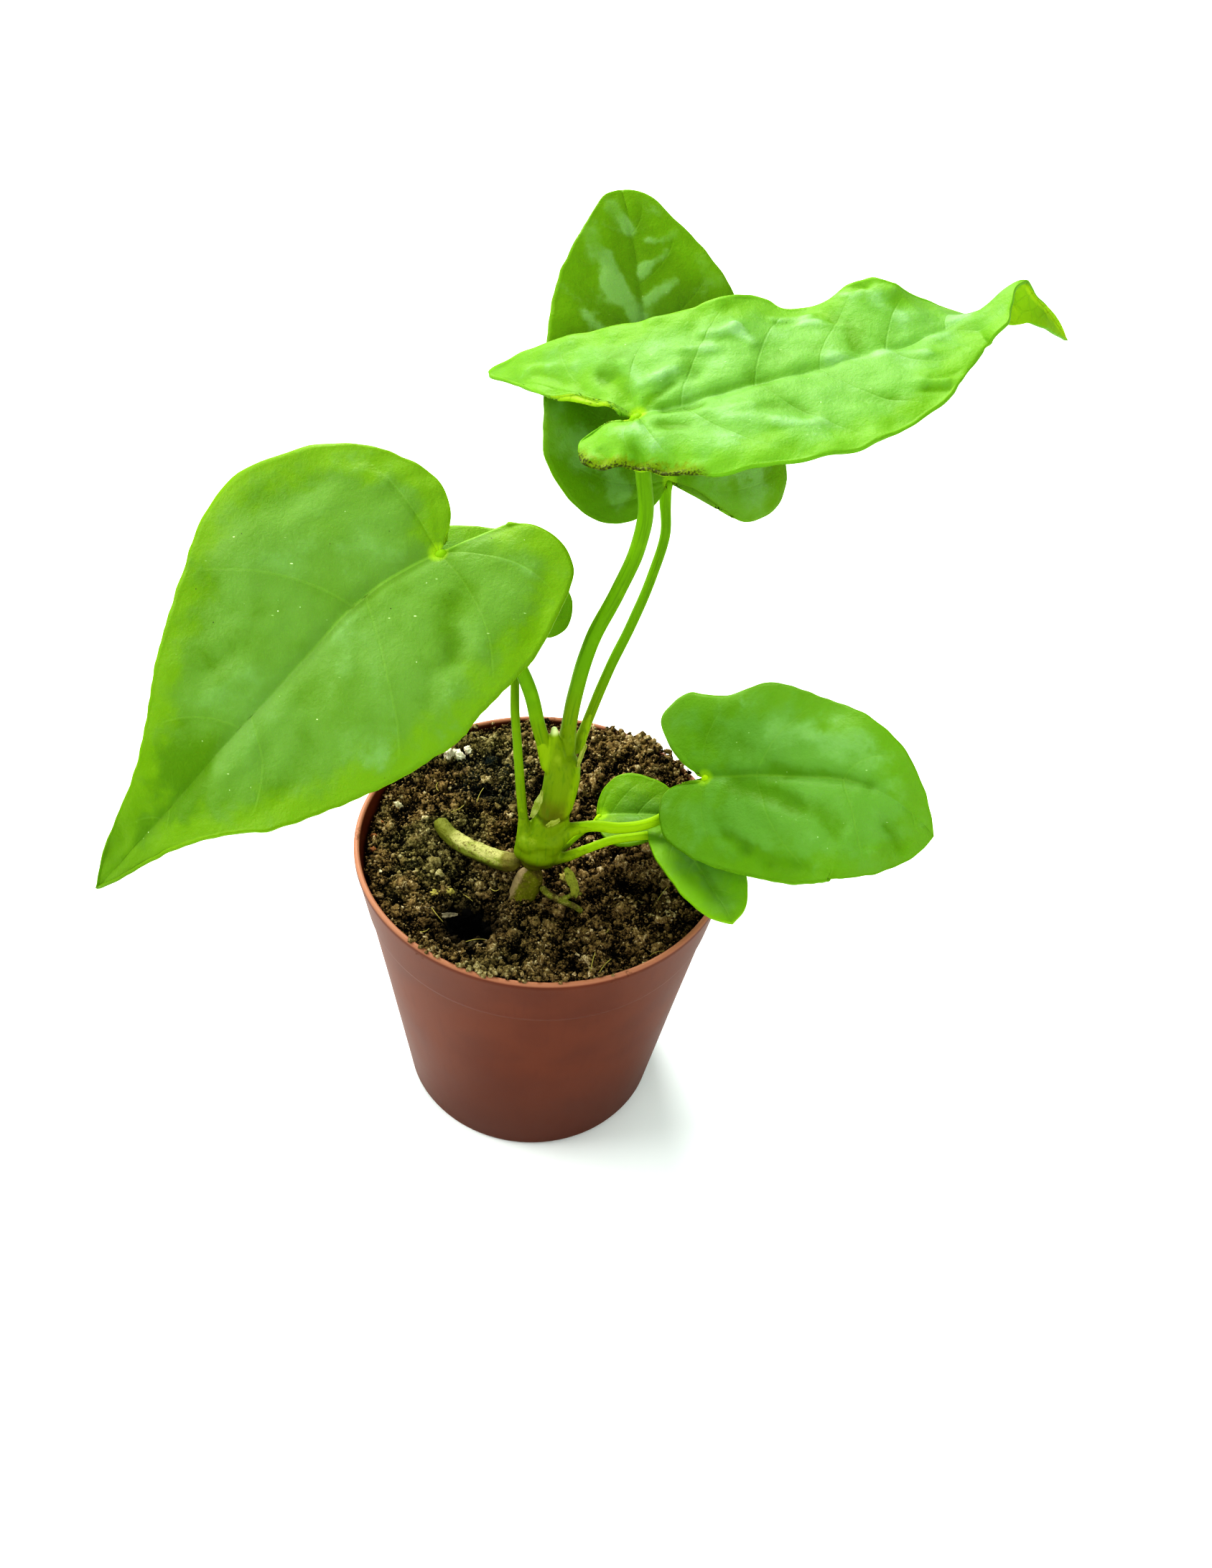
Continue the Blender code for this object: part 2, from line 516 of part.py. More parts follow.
def build_plant(collection, cutters):
    """Stem, crown with its sheath, petioles, blades, old stub and aerial root."""
    stem = tube("stem_base", STEM_ROUTE, STEM_RADII, collection, 1.6)
    stem.data.materials.append(material("stem_bark", (0.2, 0.16, 0.07), 0.7))

    crown = tube("crown_sheath", SHEATH_ROUTE, SHEATH_RADII, collection, 1.8, 12)
    knobs = [ball(f"knob_{i}", *knob, collection) for i, knob in enumerate(CROWN_KNOBS)]
    knobs.append(tube("bud", BUD_ROUTE, BUD_RADII, collection, 1.2))
    crown = fused(crown, knobs)
    crown.data.materials.clear()
    crown.data.materials.append(material("sheath_green", (0.33, 0.5, 0.08), 0.5))

    stub = tube("old_stem_stub", STUB_ROUTE, STUB_RADII, collection)
    stub.data.materials.append(material("stub_skin", (0.42, 0.45, 0.25), 0.75))
    root = tube("aerial_root", ROOT_ROUTE, ROOT_RADII, collection, 1.2)
    root.data.materials.append(material("root_skin", (0.3, 0.25, 0.12), 0.8))

    sockets = []
    for name, (route, low, high) in PETIOLES.items():
        petiole = tube(name, route, [low, high], collection)
        tall = name in ("petiole_top", "petiole_top_back", "petiole_left")
        colour = TALL_COLOUR if tall else PETIOLE_COLOUR
        petiole.data.materials.append(material(name + "_skin", colour, 0.45))
        sockets.append(tube(name + "_socket", route, [low, high], cutters, grow=SEAT_GAP))
    sockets.append(tube("stub_socket", STUB_ROUTE, STUB_RADII, cutters, grow=SEAT_GAP))
    stem_hole = tube("stem_hole", STEM_ROUTE, STEM_RADII, cutters, 1.6, grow=SEAT_GAP)
    root_hole = tube("root_hole", ROOT_ROUTE, ROOT_RADII, cutters, 1.2, grow=SEAT_GAP)
    for cutter in [*sockets, stem_hole, root_hole]:
        as_cutter(cutter)
    for cutter in [*sockets, stem_hole]:
        boolean(crown, cutter)
    boolean(stem, sockets[-1])
    boolean(stem, root_hole)
    for name in BLADES:
        build_blade(name, collection)
    return stem_hole, root_hole, sockets[-1]


clear_scene()
plant = new_collection("potted_queen_anthurium")
helpers = new_collection("cutters")
build_pot(plant, helpers)
soil = build_soil(plant)
for hole in build_plant(plant, helpers):
    boolean(soil, hole)
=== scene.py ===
# %% [markdown]
# # A young queen anthurium in its nursery pot
#
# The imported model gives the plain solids: pot, soil, stem, seven petioles and seven blades.
# This file dresses them. Each solid is replaced by a finer piece of the same form, and each
# piece gets a finish made of nodes. Lengths are written in millimetres and turned into metres
# only where a mesh is made.

# %% Load the frame
import math
import random

import bmesh
import bpy
import numpy as np
from mathutils import Matrix, Vector
from mathutils.noise import noise, voronoi


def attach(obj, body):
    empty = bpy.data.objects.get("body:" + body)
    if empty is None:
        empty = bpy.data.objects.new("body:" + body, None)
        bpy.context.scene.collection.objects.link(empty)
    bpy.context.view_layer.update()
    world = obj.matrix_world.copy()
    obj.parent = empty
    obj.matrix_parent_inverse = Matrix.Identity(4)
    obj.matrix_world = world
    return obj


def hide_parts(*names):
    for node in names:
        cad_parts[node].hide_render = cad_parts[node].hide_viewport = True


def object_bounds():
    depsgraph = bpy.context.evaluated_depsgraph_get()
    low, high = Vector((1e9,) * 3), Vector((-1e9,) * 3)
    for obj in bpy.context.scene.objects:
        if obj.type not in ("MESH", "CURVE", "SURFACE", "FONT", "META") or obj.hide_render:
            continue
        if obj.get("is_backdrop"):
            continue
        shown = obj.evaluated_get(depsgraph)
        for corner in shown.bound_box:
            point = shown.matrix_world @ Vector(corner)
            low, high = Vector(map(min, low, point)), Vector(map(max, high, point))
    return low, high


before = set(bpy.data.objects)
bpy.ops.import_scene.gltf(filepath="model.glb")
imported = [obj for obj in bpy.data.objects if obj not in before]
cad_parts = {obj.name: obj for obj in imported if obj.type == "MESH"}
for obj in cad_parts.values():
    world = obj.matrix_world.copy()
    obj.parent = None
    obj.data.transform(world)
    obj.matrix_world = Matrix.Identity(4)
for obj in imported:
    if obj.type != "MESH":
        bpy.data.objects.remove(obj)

MM = 0.001
CAD_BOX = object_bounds()
print("solids:", sorted(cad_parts))
print("box in mm:", [[round(v / MM, 1) for v in corner] for corner in CAD_BOX])

# %% [markdown]
# ## Where the camera stands
#
# The picture looks down on the pot at about 43 degrees and leans a little to one side. The pot's
# rim is a circle of known size, so the shape of its ellipse gives the angle, and its size gives
# the distance. Building the camera from three directions keeps that working in plain sight.

# %% The camera
PHOTO_WIDTH = 1688      # pixels
FOCAL_PIXELS = 2000
SENSOR = 36
LOOK_DOWN = math.radians(43.32)
LEAN = math.radians(5.86)
RIM_CENTRE = Vector((0, 0, 50))
TO_EYE = (9.22, 7.93, 211)      # rightwards, upwards and back from the rim's centre

forward = Vector((0, math.cos(LOOK_DOWN), -math.sin(LOOK_DOWN)))
level = Vector((1, 0, 0))
upward = Vector((0, math.sin(LOOK_DOWN), math.cos(LOOK_DOWN)))
side = level * math.cos(LEAN) + upward * math.sin(LEAN)
top = upward * math.cos(LEAN) - level * math.sin(LEAN)
eye = RIM_CENTRE + side * TO_EYE[0] + top * TO_EYE[1] - forward * TO_EYE[2]


def put(name, data):
    """A new object in the scene."""
    made = bpy.data.objects.new(name, data)
    bpy.context.scene.collection.objects.link(made)
    return made


lens = bpy.data.cameras.new("camera")
lens.sensor_fit = "HORIZONTAL"
lens.sensor_width = SENSOR
lens.lens = SENSOR * FOCAL_PIXELS / PHOTO_WIDTH
lens.clip_start = 0.01
camera = put("camera", lens)
camera.matrix_world = Matrix.Translation(eye * MM) @ Matrix((side, top, -forward)).transposed().to_4x4()
bpy.context.scene.camera = camera
print("eye in mm:", [round(v, 1) for v in eye], "lens:", round(lens.lens, 2))

# %% [markdown]
# ## Light and floor
#
# The plant is photographed bright and airy, with daylight from above and behind, so that the
# blades' rims glow. A pale floor, an even pale sky and three large soft lamps give that look
# without any hard shadow. The photograph is strongly toned, so the plain view transform is used
# with a look of high contrast, which darkens the gaps in the soil and keeps the greens clear.

# %% Soft light
def lamp(name, place, aim, size, watts):
    """A round soft lamp, placed and aimed in millimetres."""
    light = bpy.data.lights.new(name, "AREA")
    light.shape = "DISK"
    light.size = size * MM
    light.energy = watts
    made = put(name, light)
    made.location = Vector(place) * MM
    made.rotation_euler = (Vector(aim) - Vector(place)).to_track_quat("-Z", "Y").to_euler()


lamp("window_behind", (-350, 800, 900), (0, 0, 70), 700, 10.5)
lamp("window_left", (-560, -60, 460), (0, 0, 70), 420, 2.2)
lamp("soft_front", (260, -520, 420), (0, 0, 60), 520, 1.2)

sky = bpy.data.worlds.new("pale_sky")
sky.use_nodes = True
sky.node_tree.nodes["Background"].inputs["Color"].default_value = (0.93, 1, 0.98, 1)
sky.node_tree.nodes["Background"].inputs["Strength"].default_value = 0.55
bpy.context.scene.world = sky
bpy.context.scene.view_settings.view_transform = "Standard"
bpy.context.scene.view_settings.look = "Very High Contrast"

# %% [markdown]
# ## A way to write finishes
#
# A finish is a small sum: how far is this spot from a vein, how near the rim, how much dust has
# settled. Wrapping a node's socket in a class lets such sums be written as plain expressions,
# and each operator adds one node. Every other node comes from `Finish.node`. A colour starts as
# one even coat, and `over` lays the others on it one by one, as a painter would.

# %% Sums on sockets
class Wire:
    """One output socket of a finish. Arithmetic with it adds Math nodes."""

    def __init__(self, finish, socket):
        self.finish = finish
        self.socket = socket

    def math(self, operation, *values):
        return self.finish.node("ShaderNodeMath", {"operation": operation}, dict(enumerate(values)))

    def __add__(self, other):
        return self.math("ADD", self, other)

    def __sub__(self, other):
        return self.math("SUBTRACT", self, other)

    def __rsub__(self, other):
        return self.math("SUBTRACT", other, self)

    def __mul__(self, other):
        return self.math("MULTIPLY", self, other)

    def __truediv__(self, other):
        return self.math("DIVIDE", self, other)

    def __abs__(self):
        return self.math("ABSOLUTE", self)

    __radd__ = __add__
    __rmul__ = __mul__

    def fract(self):
        return self.math("FRACT", self)

    def squared(self):
        return self * self

    def fade(self, start, end):
        """0 at start and 1 at end, with soft ends. Start may be the larger one."""
        return self.finish.node("ShaderNodeMapRange", {"interpolation_type": "SMOOTHSTEP"},
                                {"Value": self, "From Min": start, "From Max": end})


# %% A finish and its nodes
class Finish:
    """A material under one principled shader, with lengths in millimetres."""

    def __init__(self, name):
        self.material = bpy.data.materials.new(name)
        self.material.use_nodes = True
        self.nodes = self.material.node_tree.nodes
        self.shader = self.nodes["Principled BSDF"]
        raw = self.node("ShaderNodeTexCoord", output="Object")
        self.place = self.vector("MULTIPLY", raw, (1000, 1000, 1000))

    def plug(self, socket, value):
        if isinstance(value, Wire):
            self.material.node_tree.links.new(value.socket, socket)
        elif socket.type == "RGBA":
            socket.default_value = (*value, 1)
        else:
            socket.default_value = value

    def node(self, kind, settings=None, sockets=None, output=0):
        made = self.nodes.new(kind)
        for key, value in (settings or {}).items():
            setattr(made, key, value)
        for key, value in (sockets or {}).items():
            self.plug(made.inputs[key], value)
        return Wire(self, made.outputs[output])

    def vector(self, operation, *values):
        return self.node("ShaderNodeVectorMath", {"operation": operation}, dict(enumerate(values)))

    def split(self, wire):
        """The three numbers of a vector."""
        parts = self.node("ShaderNodeSeparateXYZ", None, {0: wire}).socket.node
        return [Wire(self, socket) for socket in parts.outputs]

    def uv(self, name):
        return self.split(self.node("ShaderNodeUVMap", {"uv_map": name}))[:2]

    def stored(self, name, output="Fac"):
        return self.node("ShaderNodeAttribute", {"attribute_name": name}, None, output)

    def noise(self, scale, detail=2, where=None, rough=0.5):
        return self.node("ShaderNodeTexNoise", None, {"Vector": where or self.place, "Scale": scale,
                                                      "Detail": detail, "Roughness": rough})

    def stretched(self, scales, detail, where=None, rough=0.5):
        """Noise drawn out along an axis by unlike scales, for fibres and streaks."""
        return self.noise(1, detail, self.vector("MULTIPLY", where or self.place, scales), rough)

    def cells(self, scale, feature="F1", output="Distance", where=None):
        return self.node("ShaderNodeTexVoronoi", {"feature": feature},
                         {"Vector": where or self.place, "Scale": scale}, output)

    def mix(self, first, second, share):
        return self.node("ShaderNodeMix", {"data_type": "RGBA"}, {0: share, 6: first, 7: second}, 2)

    def over(self, colour, *layers):
        """A colour with others laid over it in turn, each with its share."""
        for above, share in layers:
            colour = self.mix(colour, above, share)
        return colour

    def bump(self, height, depth, strength):
        """A normal for a relief whose full height is depth millimetres."""
        return self.node("ShaderNodeBump", None, {"Height": height, "Distance": depth * MM,
                                                  "Strength": strength})

    def paint(self, **sockets):
        for key, value in sockets.items():
            self.plug(self.shader.inputs[key.replace("_", " ")], value)
        return self.material


# %% The floor
FLOOR_HALF = 3000
matt = Finish("pale_floor")
cloudy = matt.noise(0.004, 2).fade(0.3, 0.7)
matt.paint(Base_Color=matt.mix((0.86, 0.9, 0.885), (0.9, 0.93, 0.915), cloudy), Roughness=0.8)
floor_mesh = bpy.data.meshes.new("studio_floor")
floor_mesh.from_pydata([(x * FLOOR_HALF * MM, y * FLOOR_HALF * MM, 0)
                        for x, y in ((-1, -1), (1, -1), (1, 1), (-1, 1))], [], [(0, 1, 2, 3)])
floor_mesh.materials.append(matt.material)
floor = put("studio_floor", floor_mesh)
floor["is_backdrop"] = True

# %% [markdown]
# ## Smooth curves
#
# Midribs, petioles, stems and leaf margins are all smooth lines through a few measured points.
# A Hermite curve passes through every point and needs no handles to be placed by hand, and a
# leaf's margin is the same kind of curve as its midrib, only drawn flat.

# %% Curves through points
def curve_slopes(points):
    """Knot distances and slopes of a smooth curve through the points."""
    points = [Vector(point) for point in points]
    knots = [0.0]
    for first, second in zip(points, points[1:]):
        knots.append(knots[-1] + (second - first).length)
    legs = [(b - a) / (t - s) for a, b, s, t in zip(points, points[1:], knots, knots[1:])]
    slopes = [legs[0]]
    for i in range(1, len(points) - 1):
        before, after = knots[i] - knots[i - 1], knots[i + 1] - knots[i]
        slopes.append((legs[i - 1] * after + legs[i] * before) / (before + after))
    slopes.append(legs[-1])
    if len(points) > 2:
        slopes[0] = 2 * slopes[0] - slopes[1]
        slopes[-1] = 2 * slopes[-1] - slopes[-2]
    return points, knots, slopes


def curve_point(curve, distance):
    """The point and unit tangent at a distance along the curve; it runs on straight past its end."""
    points, knots, slopes = curve
    distance = float(distance)
    clamped = min(max(distance, 0.0), knots[-1])
    i = 0
    while i < len(knots) - 2 and knots[i + 1] <= clamped:
        i += 1
    span = knots[i + 1] - knots[i]
    t = (clamped - knots[i]) / span
    place = ((2 * t**3 - 3 * t**2 + 1) * points[i] + (t**3 - 2 * t**2 + t) * span * slopes[i]
             + (3 * t**2 - 2 * t**3) * points[i + 1] + (t**3 - t**2) * span * slopes[i + 1])
    tangent = ((6 * t**2 - 6 * t) / span * (points[i] - points[i + 1])
               + (3 * t**2 - 4 * t + 1) * slopes[i] + (3 * t**2 - 2 * t) * slopes[i + 1])
    tangent.normalize()
    return place + (distance - clamped) * tangent, tangent


def at_share(value, share):
    """A number, or the value at this share of a list of (share, value)."""
    if isinstance(value, (int, float)):
        return value
    return float(np.interp(share, *zip(*value)))


def evenly(values):
    """Values at even steps, as a list of (share, value)."""
    return list(zip(np.linspace(0, 1, len(values)), values))


def bell(value):
    """A hump 1 high at 0, gone by 2."""
    return np.exp(-value * value)


def lumps(place, scale, seed=0):
    """Soft noise between -1 and 1 at a place in millimetres."""
    return noise(Vector(place) * scale + Vector((17.3 * seed, 5.1 * seed, 9.7 * seed)))


# %% Pieces from points
def piece(name, points, faces, *finishes):
    """A smooth-shaded mesh from points in millimetres."""
    mesh = bpy.data.meshes.new(name)
    mesh.from_pydata((np.asarray(points, float) * MM).tolist(), [], faces)
    mesh.polygons.foreach_set("use_smooth", [True] * len(mesh.polygons))
    for finish in finishes:
        mesh.materials.append(finish)
    return put(name, mesh)


def tube_faces(rings, sides):
    """Faces between rings of points, each ring stored after the one before."""
    return [(ring * sides + k, ring * sides + (k + 1) % sides,
             (ring + 1) * sides + (k + 1) % sides, (ring + 1) * sides + k)
            for ring in range(rings - 1) for k in range(sides)]


def sheet_faces(rows, columns):
    """Faces between rows of points, each row stored after the one before."""
    return [(i, i + 1, i + columns + 1, i + columns) for row in range(rows - 1)
            for i in range(row * columns, row * columns + columns - 1)]


def store(made, name, values):
    """Keeps one number or vector for each vertex, for a finish to read."""
    values = np.asarray(values, np.float32)
    kind, field = ("FLOAT", "value") if values.ndim == 1 else ("FLOAT_VECTOR", "vector")
    made.data.attributes.new(name, kind, "POINT").data.foreach_set(field, values.ravel())


def dress(made, slot, *nodes):
    """The piece rides on the plant and stands for the plain solids; slot is not used."""
    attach(made, "root")
    if nodes:
        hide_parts(*nodes)
    print(f"{made.name}: {len(made.data.polygons)} faces")


# %% [markdown]
# ## The pot
#
# It is a thin, vacuum-formed plastic pot: a tapered wall, a band a little prouder under the rim,
# and a rounded lip. Such a pot is turned about an axis, so a Screw modifier sweeps one profile
# round. The lip needs more points than the plain solid has, because light catches on it.

# %% The pot's profile
POT_HEIGHT = 50.0
RIM_RADIUS = 27.5
BASE_RADIUS = 20.0
WALL = 0.85
FLOOR = 1.2
BAND_HEIGHT = 9.5
BAND_STEP = 0.35
LIP_RISE = 0.42         # height of the lip's rounding


def wall_radius(z):
    """Outer radius of the pot's wall below its band."""
    return BASE_RADIUS + (RIM_RADIUS - BAND_STEP - BASE_RADIUS) * z / POT_HEIGHT


band_foot = POT_HEIGHT - BAND_HEIGHT
lip_middle = RIM_RADIUS - WALL / 2
lip = [(lip_middle - WALL / 2 * math.cos(a), POT_HEIGHT - LIP_RISE + LIP_RISE * math.sin(a))
       for a in np.linspace(0, math.pi, 9)]
inner_foot, under_band = wall_radius(FLOOR) - WALL, wall_radius(band_foot)
pot_profile = [(0, FLOOR), (inner_foot - 0.8, FLOOR), (inner_foot - 0.2, FLOOR + 0.25),
               (inner_foot, FLOOR + 0.9), (under_band - WALL, band_foot), *lip,
               (RIM_RADIUS, POT_HEIGHT - 0.9), (RIM_RADIUS - 0.12, POT_HEIGHT - 1.3),
               (under_band + BAND_STEP, band_foot + 0.5),
               (under_band + BAND_STEP * 0.8, band_foot + 0.15),
               (under_band + BAND_STEP * 0.2, band_foot - 0.15),
               (under_band, band_foot - 0.5), (wall_radius(POT_HEIGHT / 2), POT_HEIGHT / 2),
               (BASE_RADIUS + 0.15, 1), (BASE_RADIUS - 0.15, 0.3), (BASE_RADIUS - 0.7, 0), (0, 0)]
print("profile points:", len(pot_profile))

# %% [markdown]
# The plastic is a warm brown with a satin skin. Up close it is never even: the colour clouds
# softly, fine streaks run down the wall from forming, soil dust clings under the rim, the lower
# wall is painted darker as painted shade, and the lip is paler all round, partly rubbed where hands
# hold it and partly a painted highlight. Noise stretched downwards makes the streaks.

# %% The pot's finish
plastic = Finish("brown_pot_plastic")
height = plastic.split(plastic.place)[2]
clouds = plastic.noise(0.11, 3)
streaks = plastic.stretched((0.9, 0.9, 0.05), 3)
grain = plastic.noise(9, 2)
under_rim = height.fade(POT_HEIGHT - 5, POT_HEIGHT - 0.5) * plastic.noise(0.12, 2).fade(0.45, 0.65)
dust = (plastic.noise(1.3, 5, rough=0.7) + under_rim * 0.22).fade(0.68, 0.84)
# The lip is painted paler all round: partly rubbed wear, partly a painted highlight where light catches it.
lip_wear_and_highlight = height.fade(POT_HEIGHT - 0.55, POT_HEIGHT - 0.1)
colour = plastic.mix((0.125, 0.032, 0.013), (0.15, 0.042, 0.018), clouds.fade(0.3, 0.7))
# The second layer below paints the wall darker from 30 mm down: painted shade towards the bottom.
colour = plastic.over(colour, ((0.12, 0.03, 0.014), streaks.fade(0.52, 0.75) * 0.35),
                      ((0.1, 0.024, 0.009), height.fade(30, 5) * 0.7),
                      ((0.42, 0.21, 0.13), lip_wear_and_highlight * 0.9), ((0.09, 0.05, 0.025), dust * 0.5))
plastic.paint(Base_Color=colour, Roughness=0.42 + clouds * 0.1 + dust * 0.35, Specular_IOR_Level=0.22,
              Normal=plastic.bump(grain * 0.4 + streaks * 0.6, 0.04, 0.5))

# %% The pot's turned wall
POT_STEPS = 192
turned = bpy.data.meshes.new("pot_shell")
turned.from_pydata([(r * MM, 0, z * MM) for r, z in pot_profile],
                   [(i, i + 1) for i in range(len(pot_profile) - 1)], [])
turned.materials.append(plastic.material)
pot = put("pot_shell", turned)
turn = pot.modifiers.new("turn", "SCREW")
turn.steps = turn.render_steps = POT_STEPS
turn.use_merge_vertices = True
turn.merge_threshold = 0.00001
turn.use_smooth_shade = True


def plain_mesh(made):
    """Turns the object's modifiers into its mesh."""
    bpy.context.view_layer.update()
    graph = bpy.context.evaluated_depsgraph_get()
    mesh = bpy.data.meshes.new_from_object(made.evaluated_get(graph))
    made.modifiers.clear()
    made.data = mesh
    return made


# %% Its drain holes
DRAIN_HOLES = 6
DRAIN_RADIUS = 1.8
DRAIN_CIRCLE = 13.5
DRAIN_SIDES = 32
SHARP_EDGE = math.radians(50)

cutters = []
for i in range(DRAIN_HOLES):
    turn_angle = 2 * math.pi * i / DRAIN_HOLES
    ring = [(DRAIN_CIRCLE * math.cos(turn_angle) + DRAIN_RADIUS * math.cos(a),
             DRAIN_CIRCLE * math.sin(turn_angle) + DRAIN_RADIUS * math.sin(a))
            for a in np.linspace(0, 2 * math.pi, DRAIN_SIDES + 1)[:-1]]
    points = [(x, y, z) for z in (-2, 4) for x, y in ring]
    ends = [tuple(reversed(range(DRAIN_SIDES))), tuple(range(DRAIN_SIDES, 2 * DRAIN_SIDES))]
    cutter = piece(f"drain_cutter_{i}", points, ends + tube_faces(2, DRAIN_SIDES))
    hole = pot.modifiers.new(cutter.name, "BOOLEAN")
    hole.solver = "EXACT"
    hole.object = cutter
    cutters.append(cutter)
plain_mesh(pot)
for cutter in cutters:
    bpy.data.objects.remove(cutter, do_unlink=True)
shading = bmesh.new()
shading.from_mesh(pot.data)
bmesh.ops.remove_doubles(shading, verts=shading.verts, dist=1e-6)
bmesh.ops.recalc_face_normals(shading, faces=shading.faces)
for edge in shading.edges:
    if len(edge.link_faces) == 2 and edge.calc_face_angle() > SHARP_EDGE:
        edge.smooth = False
shading.to_mesh(pot.data)
shading.free()
dress(pot, "pot_plastic", "pot")

# %% [markdown]
# ## Stems
#
# Petioles, the stem's foot, the old stub and the aerial root are all stalks: a ring carried along
# a smooth route, with a radius that changes on the way and round the ring. Each point keeps its
# place on the skin, round and along, so that a finish can draw fibres that run the stalk's length
# without a seam.

# %% A stalk
CAP = (0.03, 0.15, 0.35, 0.65)      # rings in a rounded end, as shares of its radius
LIT_SIDE = (0, -1, 0.2)             # the way that angle 0 of a stalk faces


def stalk_shape(route, radius_at, spacing=0.45, sides=20):
    """Points, faces, skin places and shares of the way for a stalk with rounded ends."""
    path = curve_slopes(route)
    length = path[1][-1]
    start, end = radius_at(0, 0), radius_at(1, 0)
    count = max(4, round((length - start - end) / spacing))
    stations = [start * c for c in CAP] + list(np.linspace(start, length - end, count))
    stations += [length - end * c for c in reversed(CAP)]
    out = Vector(LIT_SIDE)
    points, skins, shares = [], [], []
    for distance in map(float, stations):
        place, along = curve_point(path, distance)
        out = (out - along * out.dot(along)).normalized()
        across = along.cross(out)
        inward = min(1, distance / start, (length - distance) / end)
        dome = math.sqrt(1 - (1 - inward) ** 2)
        for k in range(sides):
            angle = 2 * math.pi * k / sides
            radius = float(radius_at(distance / length, angle)) * dome
            points.append(place + radius * (math.cos(angle) * out + math.sin(angle) * across))
            skins.append((math.cos(angle), math.sin(angle), distance))
            shares.append(distance / length)
    faces = tube_faces(len(stations), sides)
    for first, tip, share in ((0, 0.0, 0.0), ((len(stations) - 1) * sides, length, 1.0)):
        middle = len(points)
        points.append(curve_point(path, tip)[0])
        skins.append((0, 0, tip))
        shares.append(share)
        for k in range(sides):
            a, b = first + k, first + (k + 1) % sides
            faces.append((middle, b, a) if first == 0 else (middle, a, b))
    return points, faces, skins, shares


def stalk(name, route, radius_at, finish, spacing=0.45, sides=20):
    points, faces, skins, shares = stalk_shape(route, radius_at, spacing, sides)
    made = piece(name, points, faces, finish)
    store(made, "skin", skins)
    store(made, "run", shares)
    return made


def melted(name, shapes, voxel, rounds, *finishes):
    """Several closed shapes run together into one soft skin."""
    points, faces = [], []
    for shape_points, shape_faces in shapes:
        start = len(points)
        points += [tuple(p) for p in shape_points]
        faces += [tuple(start + int(i) for i in face) for face in shape_faces]
    made = piece(name, points, faces, *finishes)
    melt = made.modifiers.new("melt", "REMESH")
    melt.mode = "VOXEL"
    melt.voxel_size = voxel * MM
    melt.use_smooth_shade = True
    soften = made.modifiers.new("soften", "SMOOTH")
    soften.factor = 0.5
    soften.iterations = rounds
    return plain_mesh(made)


# %% [markdown]
# ## The soil
#
# Peat soil is a heap of crumbs from a quarter of a millimetre to two millimetres across, pale where
# they have dried and nearly black in the gaps between. A displaced surface alone looks like dough, so
# there are two layers: a bed with the clods and hollows of the real surface, and some fifteen
# thousand separate crumbs of three sizes, each a small ball pushed out of round, half sunk in it.

# %% The bed's relief
SOIL_LEVEL = 47.4
SOIL_BOTTOM = 2.0
SEAT_GAP = 0.3
BACK_CLIMB = 0.085      # rise for each millimetre towards the back wall
PIT = (-7.9, -15.0)
PIT_RADIUS = 4.2
PIT_DEPTH = 3.6
PIT_SHADE = (-8.8, -15.0)       # its darkest spot, under the front left wall
PIT_SHADE_WIDTH = 4.6
FRONT_HEAP = (-4, -14)          # the heap's middle across, and where it starts to rise
FRONT_HEAP_REACH = 11
FRONT_HEAP_HEIGHT = 1.3
BACK_HEAP = (15, 20)
BACK_HEAP_WIDTH = 9
BACK_HEAP_HEIGHT = 1.5
CLOD_HEIGHT = 1.3
BED_SINK = 0.35         # how far the bed lies under the level on which the crumbs sit
SOIL_EDGE = wall_radius(SOIL_LEVEL) - WALL - SEAT_GAP


def soil_height(x, y):
    """Clods of the soil's surface, with the pit, the climb to the back wall and two heaps."""
    place = Vector((x, y, 0))
    height = SOIL_LEVEL + BACK_CLIMB * max(y, 0)
    height += 0.7 * noise(place * 0.16) + 0.55 * noise(place * 0.45 + Vector((7, 3, 1)))
    height -= PIT_DEPTH * bell(math.hypot(x - PIT[0], y - PIT[1]) / PIT_RADIUS)
    front = bell((x - FRONT_HEAP[0]) / FRONT_HEAP_REACH) * max(0, FRONT_HEAP[1] - y) / FRONT_HEAP_REACH
    back = bell(math.hypot(x - BACK_HEAP[0], y - BACK_HEAP[1]) / BACK_HEAP_WIDTH)
    return float(height + FRONT_HEAP_HEIGHT * front + BACK_HEAP_HEIGHT * back)


def pit_shade(x, y):
    """How dark the pit makes a spot."""
    return bell((x - PIT_SHADE[0]) / PIT_SHADE_WIDTH) * bell((y - PIT_SHADE[1]) / PIT_RADIUS)


def clod(x, y):
    """From 0 in the gaps between clods to 1 on top of them."""
    return 0.5 + 0.6 * lumps((x, y, 0), 0.3, 3) + 0.35 * lumps((x, y, 0), 0.8, 6)


def ground(x, y):
    """The soil's height with its clods, which flatten out towards the wall."""
    level = min(1, (RIM_RADIUS - 1.5 - math.hypot(x, y)) / 4)
    return soil_height(x, y) + CLOD_HEIGHT * (clod(x, y) - 0.5) * max(0.2, level)


def crumbly(x, y):
    """The bed's height with round grains of two sizes pressed into it."""
    height = ground(x, y) - BED_SINK
    for scale, lift in ((0.75, 0.55), (1.6, 0.25)):
        gap = voronoi(Vector((x, y, 3.7)) * scale)[0][0]
        height += lift * max(0.0, 1 - (gap / 0.62) ** 2)
    return height


# %% The bed
GRID = 150


def disc_place(a, b):
    """A square's point moved on to a disc, so that cells stay nearly equal."""
    if abs(a) > abs(b):
        radius, angle = a, math.pi / 4 * b / a
    elif b:
        radius, angle = b, math.pi / 2 - math.pi / 4 * a / b
    else:
        radius, angle = 0, 0
    return radius * math.cos(angle), radius * math.sin(angle)


